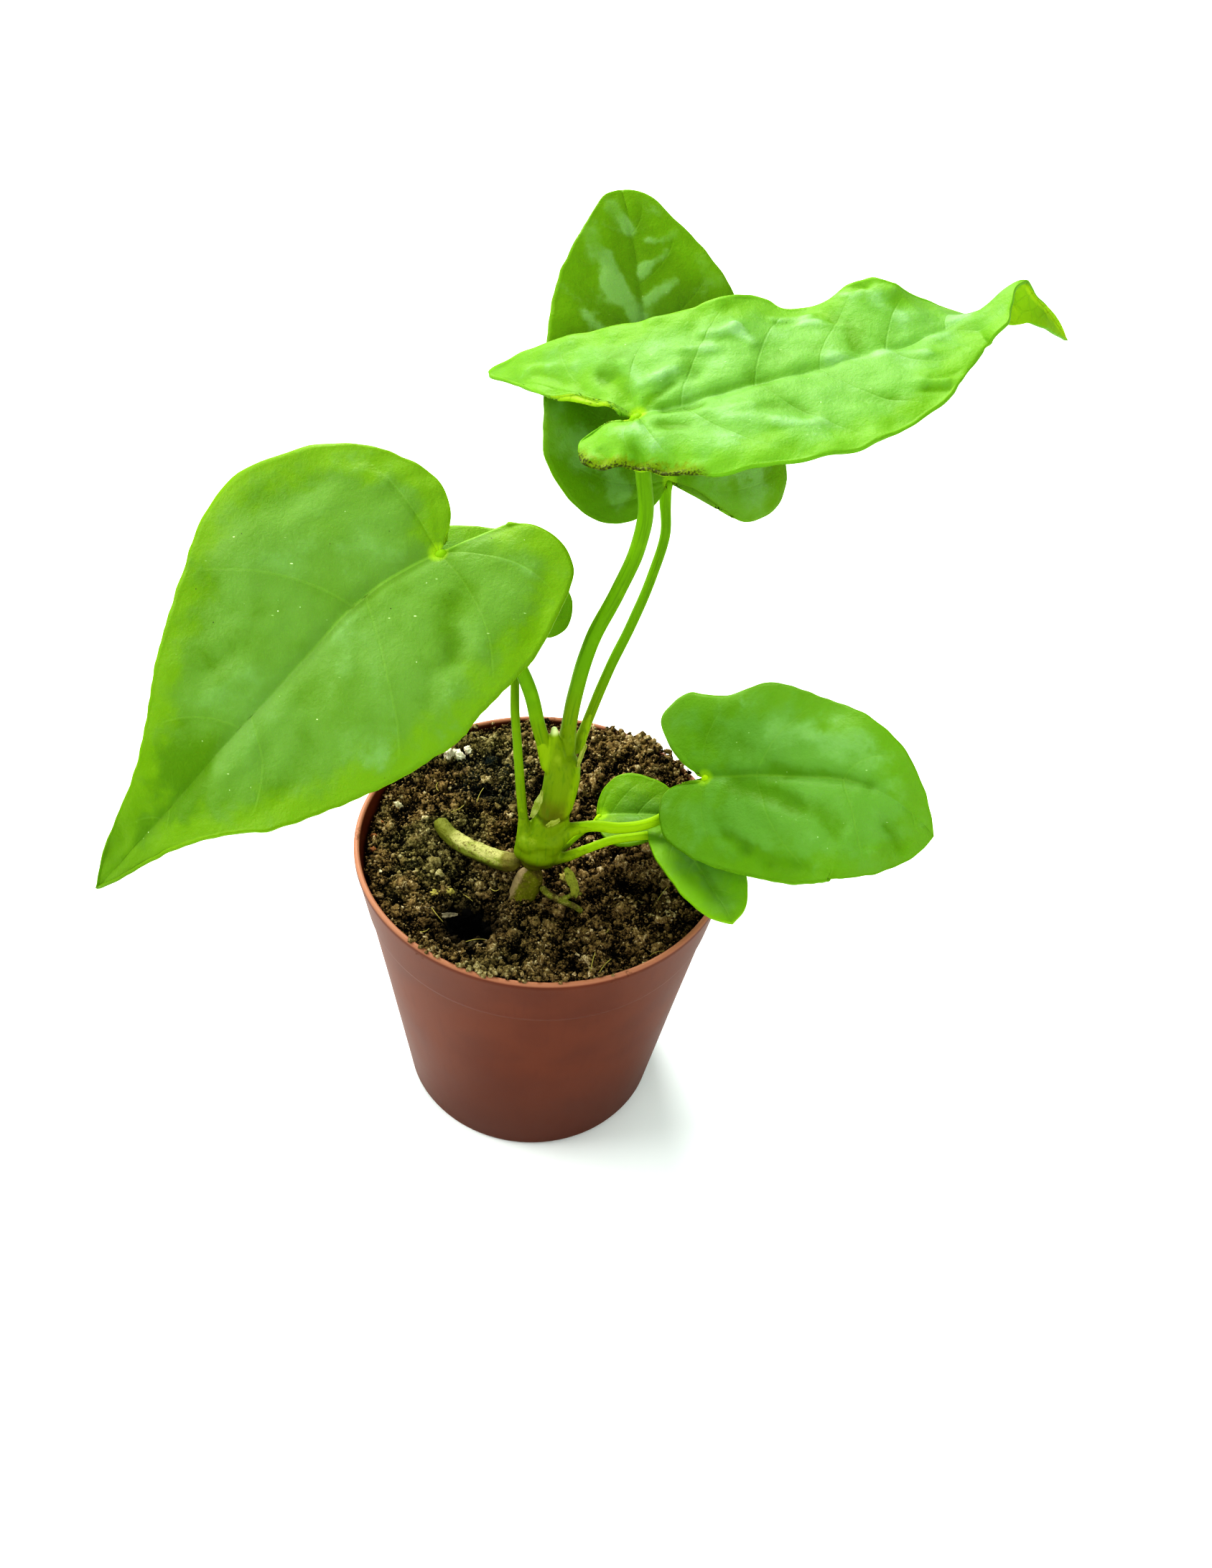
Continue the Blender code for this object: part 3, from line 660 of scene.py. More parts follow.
bed_points = []
for row in range(GRID + 1):
    for column in range(GRID + 1):
        x, y = disc_place(2 * column / GRID - 1, 2 * row / GRID - 1)
        x, y = x * SOIL_EDGE, y * SOIL_EDGE
        bed_points.append((x, y, crumbly(x, y)))
bed_faces = sheet_faces(GRID + 1, GRID + 1)
order = np.arange((GRID + 1) ** 2).reshape(GRID + 1, GRID + 1)
sides = [order[0, :GRID], order[:GRID, GRID], order[GRID, GRID:0:-1], order[GRID:0:-1, 0]]
border = np.concatenate(sides).tolist()
foot = wall_radius(SOIL_BOTTOM) - WALL - SEAT_GAP
first_foot = len(bed_points)
for i in border:
    x, y, _ = bed_points[i]
    bed_points.append((x * foot / SOIL_EDGE, y * foot / SOIL_EDGE, SOIL_BOTTOM))
for i in range(len(border)):
    j = (i + 1) % len(border)
    bed_faces.append((border[j], border[i], first_foot + i, first_foot + j))
bed_faces.append(tuple(range(first_foot + len(border) - 1, first_foot - 1, -1)))

# %% [markdown]
# Dry soil is brown on its high spots, and its gaps are painted dark as painted shade. The bed stores
# how high each spot stands above the smooth surface, and each crumb stores a tone of its own and how
# deep it sits, which paints shade under it and in the pit, so one finish serves both. A damp patch
# behind the stub is darker and a little shiny.

# %% Soil finish
DAMP_SPOT = (-9, 13)            # the middle of the damp patch behind the stub
DAMP_SPREAD = (40, 26)          # how far it reaches across and back, squared

earth = Finish("peat_crumbs")
speck = earth.noise(2.6, 4, rough=0.65)
tone = earth.stored("shade") * 0.75 + (speck - 0.5) * 1.9 + 0.08
x, y = earth.split(earth.place)[:2]
olive = earth.noise(0.09, 2).fade(0.42, 0.6) * x.fade(8, -14)
damp = (x - DAMP_SPOT[0]).squared() / DAMP_SPREAD[0] + (y - DAMP_SPOT[1]).squared() / DAMP_SPREAD[1]
wet = damp.fade(1.6, 0.3) * tone.fade(0.75, 0.2)
# The near-black first coat, for the lowest tones, and the last layer, by depth, are painted shade in the
# gaps, under the crumbs and in the pit.
colour = earth.over((0.008, 0.004, 0.002), ((0.37, 0.26, 0.115), tone.fade(0.05, 0.55)),
                    ((0.9, 0.76, 0.5), tone.fade(0.55, 1.05)),
                    (earth.mix((0.02, 0.02, 0.004), (0.45, 0.46, 0.2), tone), olive * 0.5),
                    ((0.006, 0.02, 0.02), wet * 0.8), ((0.002, 0.001, 0.001), earth.stored("depth")))
peat = earth.paint(Base_Color=colour, Roughness=0.95 - wet * 0.3, Specular_IOR_Level=0.2,
                   Normal=earth.bump(earth.noise(3.2, 5, rough=0.75), 0.45, 1.0))
bed = piece("soil_bed", bed_points, bed_faces, peat)
# The bed's low spots get a darker tone and more depth: painted shade in its hollows.
rise = np.array([z - soil_height(x, y) if z > SOIL_BOTTOM else -0.4 for x, y, z in bed_points])
pit = np.array([pit_shade(x, y) for x, y, z in bed_points])
store(bed, "shade", np.clip(0.1 + 0.45 * (rise + BED_SINK) / 0.8, 0, 1))
store(bed, "depth", np.clip(np.clip(-rise / BED_SINK, 0, 1) * 0.9 + 1.2 * pit, 0, 1))
dress(bed, "soil_mix", "soil")

# %% Crumbs
def ball_shape(detail):
    """Points and faces of a small round ball."""
    work = bmesh.new()
    bmesh.ops.create_icosphere(work, subdivisions=detail, radius=1)
    points = np.array([vertex.co for vertex in work.verts])
    faces = np.array([[vertex.index for vertex in face.verts] for face in work.faces])
    work.free()
    return points, faces


def turned_by(rng):
    """A turn to any direction, as a 3 x 3 array."""
    axis = Vector([rng.gauss(0, 1) for _ in range(3)]).normalized()
    return np.array(Matrix.Rotation(rng.uniform(0, 2 * math.pi), 3, axis))


def heap(name, lots, detail, rough, *finishes):
    """One mesh of many balls. A lot is (place, radii, shade, depth), and depth is painted shade."""
    rng = random.Random(name)
    shape, tris = ball_shape(detail)
    points, faces, shades, painted_shades = [], [], [], []
    for number, (place, radii, shade, depth) in enumerate(lots):
        spin = turned_by(rng)
        seed = Vector((number * 3.1, number * 1.7, 0.5))
        dents = np.array([noise(Vector(p) * 1.3 + seed) + 0.9 * noise(Vector(p) * 3.1 + seed)
                          for p in shape])
        body = (shape * (1 + rough * dents)[:, None] * np.array(radii)) @ spin.T + np.array(place)
        faces.append(tris + len(shape) * number)
        points.append(body)
        # Each ball is painted darker on its underside and in its dents, and paler on its bulges: painted
        # shade and light.
        low = np.clip((place[2] - body[:, 2]) / max(radii), 0, 1)
        shades.append(np.full(len(shape), shade) + 0.25 * dents)
        painted_shades.append(np.clip(depth + 0.75 * low, 0, 1))
    made = piece(name, np.concatenate(points), np.concatenate(faces).tolist(), *finishes)
    store(made, "shade", np.concatenate(shades))
    store(made, "depth", np.concatenate(painted_shades))
    return made


def scattered(count, low, high, seed, sink):
    """Crumbs strewn over the soil, thicker where they have clung together as clods."""
    rng = random.Random(seed)
    lots = []
    while len(lots) < count:
        x, y = rng.uniform(-RIM_RADIUS, RIM_RADIUS), rng.uniform(-RIM_RADIUS, RIM_RADIUS)
        size = low + (high - low) * rng.random() ** 2.2
        z = ground(x, y) + sink + rng.uniform(-0.4, 0.5) * size
        reach = RIM_RADIUS - 0.2 if z > POT_HEIGHT + 0.3 else wall_radius(z) - WALL
        if math.hypot(x, y) > reach - 0.5 * size or rng.random() > 0.4 + clod(x, y):
            continue
        radii = [size * rng.uniform(0.6, 1.15) for _ in range(3)]
        # A crumb's tone is random about a level set by the clods, and darker in the gaps between them as
        # painted shade; the pit's painted shade goes in as depth.
        shade = min(1.15, max(0, 0.75 * clod(x, y) - 0.02 + rng.gauss(0, 0.24)))
        lots.append(((x, y, z), radii, shade, min(1, 1.5 * pit_shade(x, y))))
    return lots


ON_LIP = 25.8       # beyond this radius a spilt crumb lies on the lip


def strewn(middle, spread, count, low, high, seed, lift=0.4):
    """Crumbs strewn round one spot."""
    rng = random.Random(seed)
    lots = []
    for _ in range(count):
        x, y = rng.gauss(middle[0], spread[0]), rng.gauss(middle[1], spread[1])
        size = rng.uniform(low, high)
        z = max(ground(x, y), POT_HEIGHT if math.hypot(x, y) > ON_LIP else 0) + lift * size
        if math.hypot(x, y) < RIM_RADIUS - 0.7 * size:
            lots.append(((x, y, z), [size * rng.uniform(0.6, 1.1) for _ in range(3)],
                         rng.uniform(0.3, 0.9), 0))
    return lots


dress(heap("soil_crumbs", scattered(1900, 0.28, 0.95, 11, -0.1), 2, 0.85, peat), "soil_mix")
dress(heap("soil_grit_a", scattered(5200, 0.16, 0.42, 12, 0.25), 1, 0.75, peat), "soil_mix")
dress(heap("soil_grit_b", scattered(8200, 0.1, 0.26, 13, 0.25), 1, 0.75, peat), "soil_mix")
SPILLS = [((-4.5, -25.6), (3.2, 1.0), 90, 0.2, 0.5, 15), ((-13, -22), (4, 1.2), 60, 0.2, 0.45, 18),
          ((6, -25.2), (5, 0.8), 60, 0.2, 0.45, 19), ((14, 22), (4.5, 1.8), 260, 0.25, 0.65, 16, 0.8),
          ((-15, 21), (4, 1.5), 60, 0.25, 0.5, 17)]
spill = [lot for spot in SPILLS for lot in strewn(*spot)]
dress(heap("rim_spill", spill, 2, 0.8, peat), "soil_mix")

# %% [markdown]
# A few things lie among the crumbs: white grains of perlite, three white chunks half under the
# large leaf, orange grains of bark, and lumps and thin fibres of straw. Spots that show in the
# picture are placed one by one, and the fibres are strewn by chance.

# %% Bits in the soil
def stone_finish(name, pale, dark):
    stone = Finish(name)
    clouds = stone.noise(0.9, 3)
    grain = stone.noise(4, 3, rough=0.7)
    colour = stone.mix(dark, pale, (clouds + grain * 0.6).fade(0.55, 0.9))
    return stone.paint(Base_Color=colour, Roughness=0.85, Normal=stone.bump(grain, 0.2, 0.8))


straw = stone_finish("straw_bits", (0.42, 0.37, 0.11), (0.22, 0.18, 0.05))
# each kind: its finish, roundness of mesh, roughness, and spots of x, y and three half sizes
BITS = {
    "white_chunks": (stone_finish("white_chunk", (0.8, 0.76, 0.62), (0.42, 0.33, 0.22)), 4, 0.5, [
        (-16.4, 16.4, 1.5, 0.8, 0.9), (-15, 17.4, 1.2, 0.8, 0.8), (-13.6, 18.6, 0.9, 0.6, 0.6)]),
    "perlite_grains": (stone_finish("perlite", (0.72, 0.66, 0.46), (0.4, 0.33, 0.2)), 3, 0.7, [
        (-22.5, 5.9, 0.75, 0.5, 0.45), (-16.5, -3.1, 0.5, 0.4, 0.35), (-17.6, -5.9, 0.45, 0.35, 0.3),
        (-22.7, -7.6, 0.35, 0.3, 0.3), (-3.7, -21.9, 0.35, 0.3, 0.3), (-19, 9, 0.3, 0.25, 0.2)]),
    "bark_grains": (stone_finish("bark_bits", (0.5, 0.24, 0.1), (0.25, 0.11, 0.05)), 3, 0.6, [
        (-25, -0.6, 0.45, 0.35, 0.35), (-24.6, -3.4, 0.5, 0.4, 0.4), (-24.2, 2, 0.3, 0.25, 0.25)]),
    "straw_lumps": (straw, 3, 0.9, [
        (-14, -10.2, 0.9, 0.5, 0.35), (-12.6, -9.8, 0.8, 0.6, 0.4), (4, -5.7, 0.7, 0.5, 0.8)]),
}
for name, (finish, detail, rough, spots) in BITS.items():
    lots = [((x, y, ground(x, y) + 0.55 * c), [a, b, c], 0.5, 0) for x, y, a, b, c in spots]
    dress(heap(name, lots, detail, rough, finish), "soil_mix")

# %% Straw fibres
FIBRES = 16
FIBRE_RADIUS = 0.08
rng = random.Random(21)
fibre_points, fibre_faces = [], []
for number in range(FIBRES):
    x, y, heading = rng.uniform(-20, 20), rng.uniform(-22, 18), rng.uniform(0, 2 * math.pi)
    reach = rng.uniform(1.2, 3.4)
    route = [(x + (s - 0.5) * reach * math.cos(heading) + rng.gauss(0, 0.15),
              y + (s - 0.5) * reach * math.sin(heading) + rng.gauss(0, 0.15), 0) for s in (0, 0.5, 1)]
    route = [(a, b, ground(a, b) + 0.55 + rng.uniform(0, 0.3)) for a, b, _ in route]
    points, faces = stalk_shape(route, lambda share, angle: FIBRE_RADIUS, 0.3, 6)[:2]
    fibre_faces += [tuple(len(fibre_points) + i for i in face) for face in faces]
    fibre_points += points
dress(piece("straw_fibres", fibre_points, fibre_faces, straw), "soil_mix")

# %% [markdown]
# Young petioles are juicy: smooth and satin, with fine fibres under the skin. They are lime where
# they meet the blade, and darker and more olive on the tall ones. Noise stretched along the skin
# gives the fibres. Each petiole has a flared foot, a groove down one side, and a thicker joint just
# under its blade, so its radius is a sum of soft humps along the way.

# %% Petiole finishes
def petiole_finish(name, foot, body, deep, pale, top):
    skin = Finish(name)
    around = skin.stored("skin", "Vector")
    along = skin.split(around)[2]
    fibres = skin.stretched((2.6, 2.6, 0.1), 2, around)
    clouds = skin.noise(0.28, 3)
    pores = skin.noise(4.5, 3, rough=0.6)
    colour = skin.over(foot, (body, along.fade(4, 16)), (deep, fibres.fade(0.45, 0.72) * 0.7),
                       (pale, clouds.fade(0.5, 0.75) * 0.4),
                       (top, skin.stored("run").fade(0.8, 1) * 0.7),
                       (deep, pores.fade(0.62, 0.75) * 0.4))
    return skin.paint(Base_Color=colour, Roughness=0.42 + pores * 0.15, Specular_IOR_Level=0.2,
                      Normal=skin.bump(fibres + pores * 0.5, 0.08, 0.7))


TALL_FOOT = (0.22, 0.31, 0.001)
LIME_FOOT = (0.32, 0.49, 0.002)
tall_green = petiole_finish("petiole_tall_green", TALL_FOOT, (0.17, 0.33, 0.002), (0.11, 0.23, 0.001),
                            (0.26, 0.45, 0.004), (0.24, 0.44, 0.003))
lime_green = petiole_finish("petiole_lime_green", LIME_FOOT, (0.36, 0.55, 0.003), (0.26, 0.43, 0.001),
                            (0.55, 0.75, 0.02), (0.42, 0.62, 0.004))
olive_green = petiole_finish("petiole_olive_green", TALL_FOOT, (0.21, 0.34, 0.001), (0.13, 0.23, 0.001),
                             (0.3, 0.42, 0.002), (0.24, 0.38, 0.001))

# %% Petioles
# each petiole: its route, and its radius at the foot and at the top
PETIOLES = {
    "petiole_left": ([(0.8, -4.3, 67.5), (0.1, -4.1, 70), (-1.4, -4.5, 76), (-2.5, -5, 81.5),
                      (-4, -5.5, 86), (-7, -6.2, 92), (-10.6, -6.9, 98.5),
                      (-13.2, -7.4, 102.6)], 1.0, 0.85),
    "petiole_back_left": ([(-2, -6.8, 56), (-2.6, -6.3, 60), (-3.2, -5.5, 64.5), (-4, -4, 71),
                           (-4.8, -1.8, 76.5), (-5.1, 0.4, 80), (-5.1, 2.6, 82.8),
                           (-5.2, 3.7, 84.4)], 0.7, 0.55),
    "petiole_top": ([(2.4, -2.8, 69), (2.5, -2.5, 71.5), (2.7, -2, 75.5), (3.2, -1.5, 80),
                     (4.8, -0.5, 88), (7.4, 0.5, 95), (9.3, 1, 101.5), (9.8, 1.5, 106), (9, 1.6, 111.5),
                     (7.7, 1.9, 118.05)], 1.05, 0.95),
    "petiole_top_back": ([(3.9, -1.3, 68.6), (4.3, -0.6, 70.6), (5.3, 1, 74), (7.2, 4, 79.5),
                          (9.6, 8, 84.5), (11.7, 12, 90), (12.8, 14.5, 95),
                          (12.3, 17.1, 100.2)], 0.7, 0.68),
    "petiole_right": ([(1.4, -6.2, 57.4), (3.5, -6.5, 58.6), (7, -6.5, 60), (11, -6.3, 60),
                       (15.4, -5.3, 60.8), (19.1, -4, 63.7), (22.1, -3.4, 67.8)], 0.85, 0.65),
    "petiole_low_right": ([(1.4, -7.5, 53.4), (3.5, -7.5, 54.2), (6.5, -7, 55.8), (10, -6, 57.1),
                           (14, -5, 57.5), (17.2, -4, 57.6)], 0.68, 0.55),
    "petiole_small": ([(1.7, -6.4, 53), (3, -5.4, 53.6), (4.4, -4, 54.4), (5.8, -2, 54.4),
                       (7.3, 0.3, 53.7)], 0.55, 0.45),
}
TALL = ("petiole_left", "petiole_top", "petiole_top_back")
# the spot where each petiole meets its blade
HUBS = {"petiole_left": (-14, -8, 104), "petiole_back_left": (-5, 4, 86), "petiole_top": (7.5, 2, 119),
        "petiole_top_back": (12.5, 17, 101.5), "petiole_right": (21.5, -4, 69),
        "petiole_low_right": (18, -4, 59), "petiole_small": (8, 1, 55)}


JOINT_BELOW = 2.6       # how far under the blade the thick joint sits


def petiole_radius(length, low, high):
    """A flared foot, a slow taper with a groove down one side, and a thicker joint at the top."""
    def radius_at(share, angle):
        plain = low + (high - low) * share
        foot = 0.12 * low * bell(share * length / 2.5)
        joint = 0.16 * high * bell(((1 - share) * length - JOINT_BELOW) / 1.8)
        groove = 0.1 * plain * max(0, math.cos(angle)) ** 8
        uneven = 0.03 * lumps((math.cos(angle), math.sin(angle), share * length * 0.3), 1, 2)
        return plain + foot + joint - groove + uneven
    return radius_at


for name, (route, low, high) in PETIOLES.items():
    whole = [*route, HUBS[name]]
    length = curve_slopes(whole)[1][-1]
    look = tall_green if name in TALL else olive_green if name == "petiole_back_left" else lime_green
    made = stalk(name + "_stalk", whole, petiole_radius(length, low, high), look)
    dress(made, "petiole_tall" if name in TALL else "petiole_lime", name)

# %% [markdown]
# ## Foot of the stem, old stub and aerial root
#
# The stem's foot is finely wrinkled and patched green and brown, and the side that faces the light
# is painted paler and pinker, partly dry bark and partly a painted highlight; the other side stays
# green. The stub of the old stem lies on the soil, whitish green with faint rings where leaves once
# sat, painted paler on top and darker below as painted light and shade, and its cut end has shrunk
# into a small hole, painted dark inside as painted shade. The wrinkles and rings are part of the
# radius, so that they show in the outline too.

# %% Bark finish
def bark_finish(name, green, brown, pale, pale_share, lit=None):
    """Bark patched with green and brown. Its lit side, seen from the front left, may get a paler painted
    highlight.
    """
    bark = Finish(name)
    around = bark.stored("skin", "Vector")
    fibres = bark.stretched((3, 3, 0.5), 4, around, 0.65)
    clouds = bark.noise(0.55, 4, rough=0.6)
    spots = bark.noise(2.4, 3, rough=0.7)
    colour = bark.over(green, (brown, clouds.fade(0.4, 0.62)), (pale, (spots + pale_share).fade(0.5, 0.8)))
    # The side facing the light on the left is painted in the lit colour: a painted highlight, partly dry
    # bark.
    if lit:
        rightwards = bark.split(around)[1]
        colour = bark.mix(colour, lit, (spots * 0.6 - rightwards).fade(0.85, 1.15) * 0.9)
    colour = bark.mix(colour, brown, fibres.fade(0.58, 0.8) * 0.7)
    return bark.paint(Base_Color=colour, Roughness=0.6 + spots * 0.3, Specular_IOR_Level=0.2,
                      Normal=bark.bump(fibres + spots * 0.6, 0.3, 0.9))


def stub_finish():
    """The stub is pale cream on top and olive below by painted light and shade, brown at its joint and
    round its hole, and painted near black in its hole as painted shade.
    """
    skin = Finish("stub_skin")
    run = skin.stored("run")
    fibres = skin.stretched((2, 2, 0.5), 4, skin.stored("skin", "Vector"), 0.6)
    clouds = skin.noise(0.5, 3, rough=0.6)
    spots = skin.noise(2.2, 3, rough=0.7)
    # up is how far the skin faces upwards: the first two layers paint upward faces paler and downward ones
    # darker, painted light and shade.
    up = skin.split(skin.node("ShaderNodeNewGeometry", output="Normal"))[2]
    colour = skin.over((0.14, 0.155, 0.02), ((0.24, 0.27, 0.05), (up + clouds - 0.5).fade(-0.3, 0.6)),
                       ((0.46, 0.44, 0.19), (up + clouds * 2 - 1 + spots * 1.2).fade(0.9, 1.6)),
                       ((0.12, 0.1, 0.02), (spots * 0.6 + fibres * 0.4).fade(0.5, 0.6) * 0.75),
                       ((0.17, 0.14, 0.03), (run + clouds * 0.06).fade(0.22, 0.14) * 0.75),
                       ((0.15, 0.16, 0.02), (run + clouds * 0.1).fade(0.74, 0.84) * 0.8),
                       # The last layer paints the inside of the hole near black: painted shade.
                       ((0.02, 0.018, 0.005), run.fade(0.968, 0.985)))
    return skin.paint(Base_Color=colour, Roughness=0.6 + spots * 0.3, Specular_IOR_Level=0.2,
                      Normal=skin.bump(fibres + spots * 0.6, 0.3, 0.9))


stem_bark = bark_finish("stem_bark", (0.17, 0.18, 0.008), (0.13, 0.11, 0.02), (0.3, 0.26, 0.08), 0.0,
                        (0.32, 0.25, 0.15))
stub_skin = stub_finish()
root_skin = bark_finish("root_skin", (0.2, 0.22, 0.03), (0.13, 0.1, 0.03), (0.4, 0.36, 0.14), 0.04)

# %% Stem foot
STEM_ROUTE = [(-3.4, -9.6, 40), (-2.4, -9, 45), (-1.6, -8.5, 48), (-1, -8, 50), (-0.8, -7.6, 51.6)]
STEM_RADII = [1.7, 2.2, 2.3, 2, 1.8]


def wrinkled(radii, ring_depth, ring_step, ridge_depth):
    """A radius through the listed ones, with rings across and ridges along."""
    stops = evenly(radii)

    def radius_at(share, angle):
        plain = at_share(stops, share)
        ring = ring_depth * math.cos(share * ring_step * 2 * math.pi + 0.5 * math.cos(angle)) ** 8
        ridge = ridge_depth * lumps((2.2 * math.cos(angle), 2.2 * math.sin(angle), share * 3), 1, 5)
        knob = 0.05 * plain * lumps((math.cos(angle), math.sin(angle), share * 9), 1, 6)
        return plain + ring + ridge + knob
    return radius_at


stem_foot = stalk("stem_foot", STEM_ROUTE, wrinkled(STEM_RADII, 0.06, 2.5, 0.3), stem_bark, 0.25, 40)
dress(stem_foot, "stem_bark", "stem_base")

# %% Old stub
STUB_ROUTE = [(-2.8, -6.8, 51.6), (-5.4, -5.8, 50.4), (-8.2, -4.3, 49.9), (-11, -2.9, 49.7),
              (-13.4, -1.6, 50), (-15.6, 1.2, 50.6)]
STUB_RADII = [1.3, 1.4, 1.35, 1.3, 1.25, 1.2]
stub = stalk("old_stub", STUB_ROUTE, wrinkled(STUB_RADII, 0.08, 3.5, 0.16), stub_skin, 0.3, 36)
stub_tip = Vector(STUB_ROUTE[-1])
stub_way = (stub_tip - Vector(STUB_ROUTE[-2])).normalized()
HOLLOW = 0.62       # radius of the hole in the stub's end
HOLLOW_DEPTH = 0.9
for vertex in stub.data.vertices:
    away = vertex.co / MM - stub_tip + stub_way * 0.2
    vertex.co -= stub_way * (HOLLOW_DEPTH * float(bell(away.length / HOLLOW)) * MM)
dress(stub, "stub_skin", "old_stem_stub")

# %% Aerial root
ROOT_ROUTE = [(0.6, -9.4, 49.8), (2, -10.3, 49.2), (3.9, -10.9, 48.8), (6, -11.3, 48.2),
              (7.6, -11.6, 46.4)]
ROOT_RADII = [0.5, 0.55, 0.5, 0.45, 0.35]
ROOT_BRANCH = [(3.2, -10.8, 48.9), (4.6, -10.6, 49.5), (5.7, -10.4, 50.1), (6.6, -10.3, 50)]
root_shapes = [stalk_shape(ROOT_ROUTE, wrinkled(ROOT_RADII, 0.03, 4, 0.08), 0.25, 20)[:2],
               stalk_shape(ROOT_BRANCH, wrinkled([0.32, 0.34, 0.36, 0.3], 0.03, 2, 0.06), 0.2, 16)[:2]]
root = melted("root_skin", root_shapes, 0.13, 3, root_skin)
store(root, "skin", [(math.cos(v.co.y * 2000), math.sin(v.co.z * 2000), v.co.x * 1000)
                     for v in root.data.vertices])
dress(root, "root_skin", "aerial_root")

# %% [markdown]
# ## The crown
#
# This is where all the petioles meet: a knobbly joint above the soil, a pale sheath folded round
# the tall petioles, and a bud between them. The real one is a single skin, so the knobs, the
# sheath and the petioles' feet are melted together with a voxel remesh and then relaxed, which
# leaves the soft hollows where one part grows out of the next. A fine crease is then pressed in
# where the sheath leaves the crown.

# %% The crown's finish
SHEATH_FOOT = 60.9      # height of the crease where the sheath grows out of the crown
LEAF_SCAR = (-1.1, -9.2, 58.6)
BUD_TIP = (0.7, -3.6, 74.7)

skin = Finish("crown_green")
x, y, z = skin.split(skin.place)
clouds = skin.noise(0.35, 3)
fibres = skin.stretched((2.2, 2.2, 0.25), 3)
pores = skin.noise(4, 3, rough=0.6)
rise = z + clouds * 2 - 1
wedge = rise.fade(55.4, 53.4) * x.fade(-3.2, -2.2) * x.fade(1.4, 0.4)
# A painted shadow: a darker olive on the lower middle of the sheath.
olive = rise.fade(60, 61) * rise.fade(65.5, 62) * x.fade(-1.2, 0.5) * x.fade(4.4, 3.2)
# A paler stripe up the left edge of the sheath.
pale_left_edge = z.fade(60.5, 61.2) * z.fade(65, 63) * x.fade(-0.4, -1.2) * x.fade(-2.3, -1.9)
# Painted shade along the crease where the sheath leaves the crown.
crease_shade = abs(rise - SHEATH_FOOT).fade(0.5, 0.1)
sheath_edges = abs(x - 0.15 * (z - 54)).fade(1.3, 2.4) * z.fade(60, 63)


def length_from(spot):
    away = skin.vector("SUBTRACT", skin.place, spot)
    return skin.node("ShaderNodeVectorMath", {"operation": "LENGTH"}, {0: away}, "Value")


# The first coat leaves the crown dark below about 53 mm: painted shade under the knobs.
colour = skin.over((0.1, 0.11, 0.003), ((0.21, 0.3, 0.001), rise.fade(52.2, 55.2)),
                   ((0.13, 0.125, 0.01), wedge * 0.8), ((0.16, 0.165, 0.003), olive * 0.85),
                   ((0.33, 0.29, 0.09), pale_left_edge * 0.7), ((0.07, 0.1, 0.001), crease_shade * 0.5),
                   ((0.32, 0.46, 0.002), x.fade(2.6, 6) * z.fade(63, 61) * 0.8),
                   ((0.34, 0.48, 0.004), sheath_edges * 0.6),
                   ((0.12, 0.22, 0.001), fibres.fade(0.5, 0.72) * 0.5),
                   ((0.4, 0.5, 0.05), clouds.fade(0.58, 0.78) * 0.35),
                   ((0.5, 0.55, 0.1), length_from(LEAF_SCAR).fade(1.3, 0.4) * pores.fade(0.35, 0.6) * 0.6),
                   ((0.7, 0.75, 0.4), length_from(BUD_TIP).fade(1.3, 0.5)))
crown_green = skin.paint(Base_Color=colour, Roughness=0.4 + pores * 0.15, Specular_IOR_Level=0.2,
                         Subsurface_Weight=0.1, Subsurface_Radius=(0.0008, 0.0012, 0.0002),
                         Subsurface_Scale=1, Normal=skin.bump(fibres + pores * 0.4, 0.1, 0.7))

# %% The crown's shape
SHEATH_ROUTE = [(0, -6.8, 54), (0.5, -6.2, 57), (1.8, -5, 62.5), (2.3, -4, 67), (2.2, -3, 70.3)]
SHEATH_RADII = [2.5, 2.45, 2.4, 2.5, 2.3]
CROWN_KNOBS = [((-0.2, -7.0, 54.9), (3.1, 2.9, 2.3)), ((0.9, -6.6, 57.4), (2.8, 2.7, 1.5)),
               ((-1.1, -7.5, 56.6), (2.1, 1.9, 1.9)), ((-0.7, -7.5, 53.2), (1.9, 1.8, 1.5))]
BUD_ROUTE = [(1.9, -4.6, 67.2), (1.3, -4.2, 71), (0.7, -3.6, 75.1)]
BUD_RADII = [1.3, 1.2, 0.35]


def even(radii):
    """A round stalk's radius, through the listed ones."""
    return lambda share, angle: at_share(evenly(radii), share)


def knob(centre, radii):
    """Points and faces of a ball stretched to three radii."""
    shape, tris = ball_shape(4)
    return shape * np.array(radii) + np.array(centre), tris


crown_shapes = [stalk_shape(SHEATH_ROUTE, even(SHEATH_RADII), 0.4, 32)[:2],
                stalk_shape(BUD_ROUTE, even(BUD_RADII), 0.3, 20)[:2]]
crown_shapes += [knob(*each) for each in CROWN_KNOBS]
FEET = [([(0, -7.6, 54.8), (1.2, -7.4, 56.4), (2.8, -6.9, 58), (4.7, -6.5, 59.2)], [2.2, 1.9, 1.4, 0.9]),
        ([(-2.2, -7.4, 53), (-2.2, -7, 56), (-2.6, -6.4, 60)], [1.7, 1.25, 0.72]),
        ([(0.4, -7.6, 52), (1.4, -7.5, 53.4), (3.5, -7.5, 54.2)], [1.4, 1.0, 0.68]),
        ([(0.8, -7.2, 52.2), (1.7, -6.8, 53), (3, -5.8, 54)], [1.3, 0.9, 0.55])]
crown_shapes += [stalk_shape(route, even(radii), 0.3, 24)[:2] for route, radii in FEET]
FOOT_REACH = 7          # how far up a petiole its foot belongs to the crown
FOOT_FLARE = (1.35, 1.15, 0.85)
